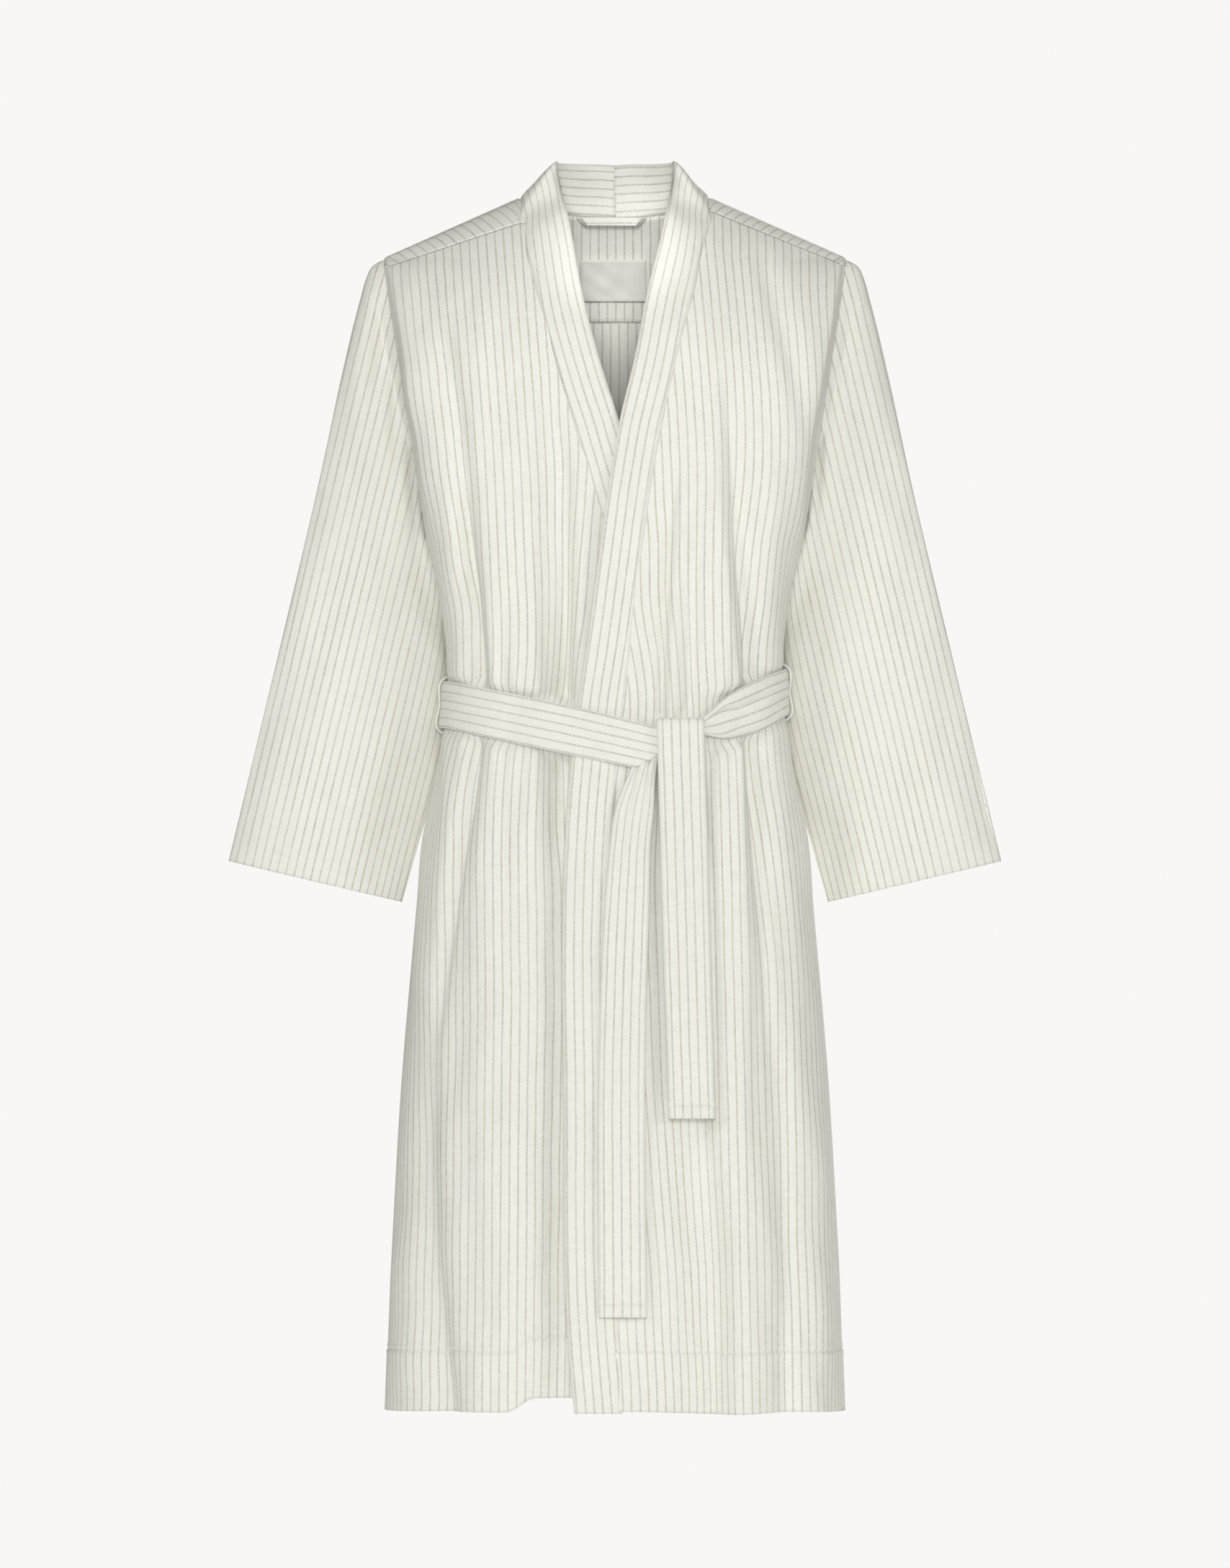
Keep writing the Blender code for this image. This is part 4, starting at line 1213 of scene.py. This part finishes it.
def build_belt(cotton, sewing):
    points, grain = belt_grid()
    doubled = {"thickness": BELT_THICKNESS, "rounded": True}
    strap, _, _ = plain("belt_waist", points, grain, cotton, **doubled)
    for kind, rows in (("short", 110), ("long", 150)):
        body = f"belt_tail_{kind}"
        points, share = tail_grid(kind, rows)
        low = float(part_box(f"{body}_hem")[0].z)
        if kind == "short":
            points = roll_over(points)
        grain = belt_grain(points, share * BELT_WIDTH / 2 + 0.0042)
        relief = tail_relief(points, low, share)
        tail, outer, normal = cloth(body, points, grain, cotton, relief=relief, **doubled)
        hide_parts(body, f"{body}_hem")
        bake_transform(tail)
        row = int(np.argmin(np.abs(points[:rows, 6, 2] - (low + TAIL_HEM))))
        sewn = stitches(f"{body}_stitches", outer[row, 1:-1], normal[row, 1:-1], body, sewing)
    build_knot(cotton)
    build_belt_loops(cotton)


def build_knot(cotton):
    """The core of the tie: the belt folded to a third, passing down behind the short end."""
    line = through([(0.0640, 0.0, -0.4720), (0.0610, 0.0, -0.4820), (0.0580, 0.0, -0.4920)], 30)
    for p in line:
        p[1] = float(body_y(p[0], p[2], -1, float(overlap_lift(p[0], p[2])) + 0.0092))
    ring = np.linspace(0, 2 * math.pi, 25)
    pinch = 0.35 + 0.65 * np.sin(np.linspace(0.25, math.pi - 0.25, 30))[:, None]
    round_it = joined(np.cos(ring) * 0.0066, np.sin(ring) * 0.0022, 0 * ring)
    points = (line[:, None, :] + round_it[None] * pinch[..., None])[::-1]
    u, v = np.meshgrid(ring / (2 * math.pi) * BELT_WIDTH / 2, np.linspace(0, 0.021, 30))
    grain = joined(u, v)
    knot, _, _ = plain("belt_knot", points, grain, cotton, closed=True)


def build_belt_loops(cotton):
    """A crocheted thread loop over the belt at each side seam."""
    for side, name in SIDES:
        top = BELT_SIDE_TOP[side]
        low = top - BELT_WIDTH
        z = np.array([low - 0.0045, low - 0.0008, (low + top) / 2, top + 0.0008, top + 0.0045])
        out = half_width(z) + np.array([0.0004, 0.0058, 0.0072, 0.0058, 0.0004])
        line = through(joined(out * side, np.full(5, SIDE_Y), z), 90)
        ring = np.linspace(0, 2 * math.pi, 13)
        beads = 0.0007 + 0.00025 * np.abs(np.sin(np.linspace(0, 26 * math.pi, 90)))
        tangent = np.gradient(line, axis=0)
        tangent /= np.linalg.norm(tangent, axis=1, keepdims=True)
        depth = np.array([0.0, 1.0, 0.0])
        across = np.cross(tangent, depth)
        points = line[:, None, :] + beads[:, None, None] * (
            np.cos(ring)[None, :, None] * depth * 1.3
            + np.sin(ring)[None, :, None] * across[:, None, :]
        )
        grain = np.stack(np.meshgrid(ring * 0.0002, np.linspace(0, 0.07, 90)), axis=2)
        plain(f"{name}_belt_loop", points, grain, cotton, thickness=0.0004, closed=True)


# ---------------------------------------------------------------- the studio


def build_floor(bounds):
    """A pale disc well below the hem, whose rim fades away into the backdrop."""
    lo, _ = bounds
    m = Nodes("Studio floor")
    place = m.add("ShaderNodeTexCoord", output=3)
    grain = m.add("ShaderNodeTexNoise", Vector=place, Scale=3.0, Detail=2.0)
    m.set(Base_Color=m.mix(grain, (0.88, 0.875, 0.86), (0.86, 0.855, 0.84)))
    m.set(Emission_Color=(1.0, 0.985, 0.955, 1), Emission_Strength=0.27)
    away = m.add("ShaderNodeVectorMath", 1, {"operation": "LENGTH"}, i0=place)
    m.set(Roughness=0.95, Specular_IOR_Level=0.1, Alpha=m.ramp(away, 1.2, 3.0, 1.0, 0.0))
    bpy.ops.mesh.primitive_circle_add(vertices=96, radius=3.0, fill_type="NGON")
    floor = bpy.context.object
    floor.name = "studio_floor"
    floor.location = (0.0, 0.0, lo.z - 0.42)
    floor.data.materials.append(m.material)


def lamp(kind, name, place, aim, power, **settings):
    """An area lamp, which the camera never sees, or a spot."""
    data = bpy.data.lights.new(name, kind)
    data.energy = power
    for key, value in settings.items():
        setattr(data, key, value)
    light = bpy.data.objects.new(name, data)
    light.location = place
    light.rotation_euler = (Vector(aim) - Vector(place)).to_track_quat("-Z", "Y").to_euler()
    light.visible_camera = kind != "AREA"
    bpy.context.scene.collection.objects.link(light)


def build_world(backdrop, ambient, strength):
    """An even pale backdrop, and softer, warmer light from all round."""
    world = bpy.data.worlds.new("studio")
    world.use_nodes = True
    tree = world.node_tree
    shown = tree.nodes["Background"]
    lit = tree.nodes.new("ShaderNodeBackground")
    shown.inputs["Color"].default_value = (*backdrop, 1.0)
    lit.inputs["Color"].default_value = (*ambient, 1.0)
    lit.inputs["Strength"].default_value = strength
    mix = tree.nodes.new("ShaderNodeMixShader")
    rays = tree.nodes.new("ShaderNodeLightPath").outputs["Is Camera Ray"]
    for k, output in enumerate((rays, lit.outputs[0], shown.outputs[0])):
        tree.links.new(output, mix.inputs[k])
    tree.links.new(mix.outputs[0], tree.nodes["World Output"].inputs["Surface"])
    bpy.context.scene.world = world


def build_studio(bounds):
    build_floor(bounds)
    robe, neck = (0.0, 0.0, -0.55), (0.0, 0.0, -0.06)
    for name, place, aim, size, power, color in (
        ("front", (0.0, -5.0, -0.10), robe, 1.0, 88, (0.975, 0.985, 1.0)),
        ("key", (-3.1, -3.6, 1.20), robe, 1.5, 42, (0.975, 0.985, 1.0)),
        ("side", (3.8, -3.1, 0.2), robe, 2.0, 40, (0.985, 0.99, 1.0)),
        ("neck", (0.0, -1.00, 0.24), neck, 0.25, 1.2, (1.0, 0.99, 0.96)),
        ("behind", (1.2, 4.6, 0.9), robe, 1.8, 152, (1.0, 0.995, 0.98)),
    ):
        lamp("AREA", name, place, aim, power, size=size, color=color)
    # A lamp in a snoot, whose soft pool of light reaches into the neck.
    snoot = {"spot_size": 0.090, "spot_blend": 1.0, "shadow_soft_size": 0.02}
    lamp("SPOT", "neck_opening", (0.0, -2.0, 0.25), (0.003, 0.0, -0.045), 56, **snoot)
    build_world((0.939, 0.930, 0.913), (1.0, 0.965, 0.87), 0.21)
    bpy.context.scene.view_settings.view_transform = "Standard"


def build_camera():
    """Level with the robe's middle and far back, as a product picture is taken."""
    distance, height, tall, sensor = 14.0, -0.5265, 1.4440, 36.0
    data = bpy.data.cameras.new("camera")
    data.sensor_fit = "VERTICAL"
    data.sensor_height = sensor
    data.lens = sensor * distance / tall
    camera = bpy.data.objects.new("camera", data)
    camera.location = (0.0, SIDE_Y - 0.04 - distance, height)
    camera.rotation_euler = (math.pi / 2, 0, 0)
    bpy.context.scene.collection.objects.link(camera)
    bpy.context.scene.camera = camera


def main():
    cad_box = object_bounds()
    cotton = striped_cloth("Striped cotton", IVORY, TAUPE, IVORY_SHADE)
    # The turned hems, seam allowances and cuff hems get a darker copy of the same cotton, with
    # IVORY_SHADE as its ground: painted shade.
    inside = striped_cloth("Striped cotton inside, painted shade", IVORY_SHADE, TAUPE, IVORY)
    label = label_tape("Label tape", (0.880, 0.872, 0.815))
    sewing = thread("Sewing thread", (0.770, 0.752, 0.675))
    hemming = thread("Hemming thread", (0.930, 0.926, 0.890))
    build_panels(cotton, inside, hemming)
    build_neck(cotton, label, sewing)
    build_sleeves(cotton, inside, hemming)
    build_belt(cotton, hemming)
    build_studio(cad_box)
    build_camera()


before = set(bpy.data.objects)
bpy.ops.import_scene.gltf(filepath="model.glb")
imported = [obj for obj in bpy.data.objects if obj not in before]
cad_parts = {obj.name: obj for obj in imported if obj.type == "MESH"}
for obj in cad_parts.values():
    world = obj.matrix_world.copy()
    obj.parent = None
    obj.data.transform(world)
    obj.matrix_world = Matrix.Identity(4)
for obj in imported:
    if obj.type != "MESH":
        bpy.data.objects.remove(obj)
main()
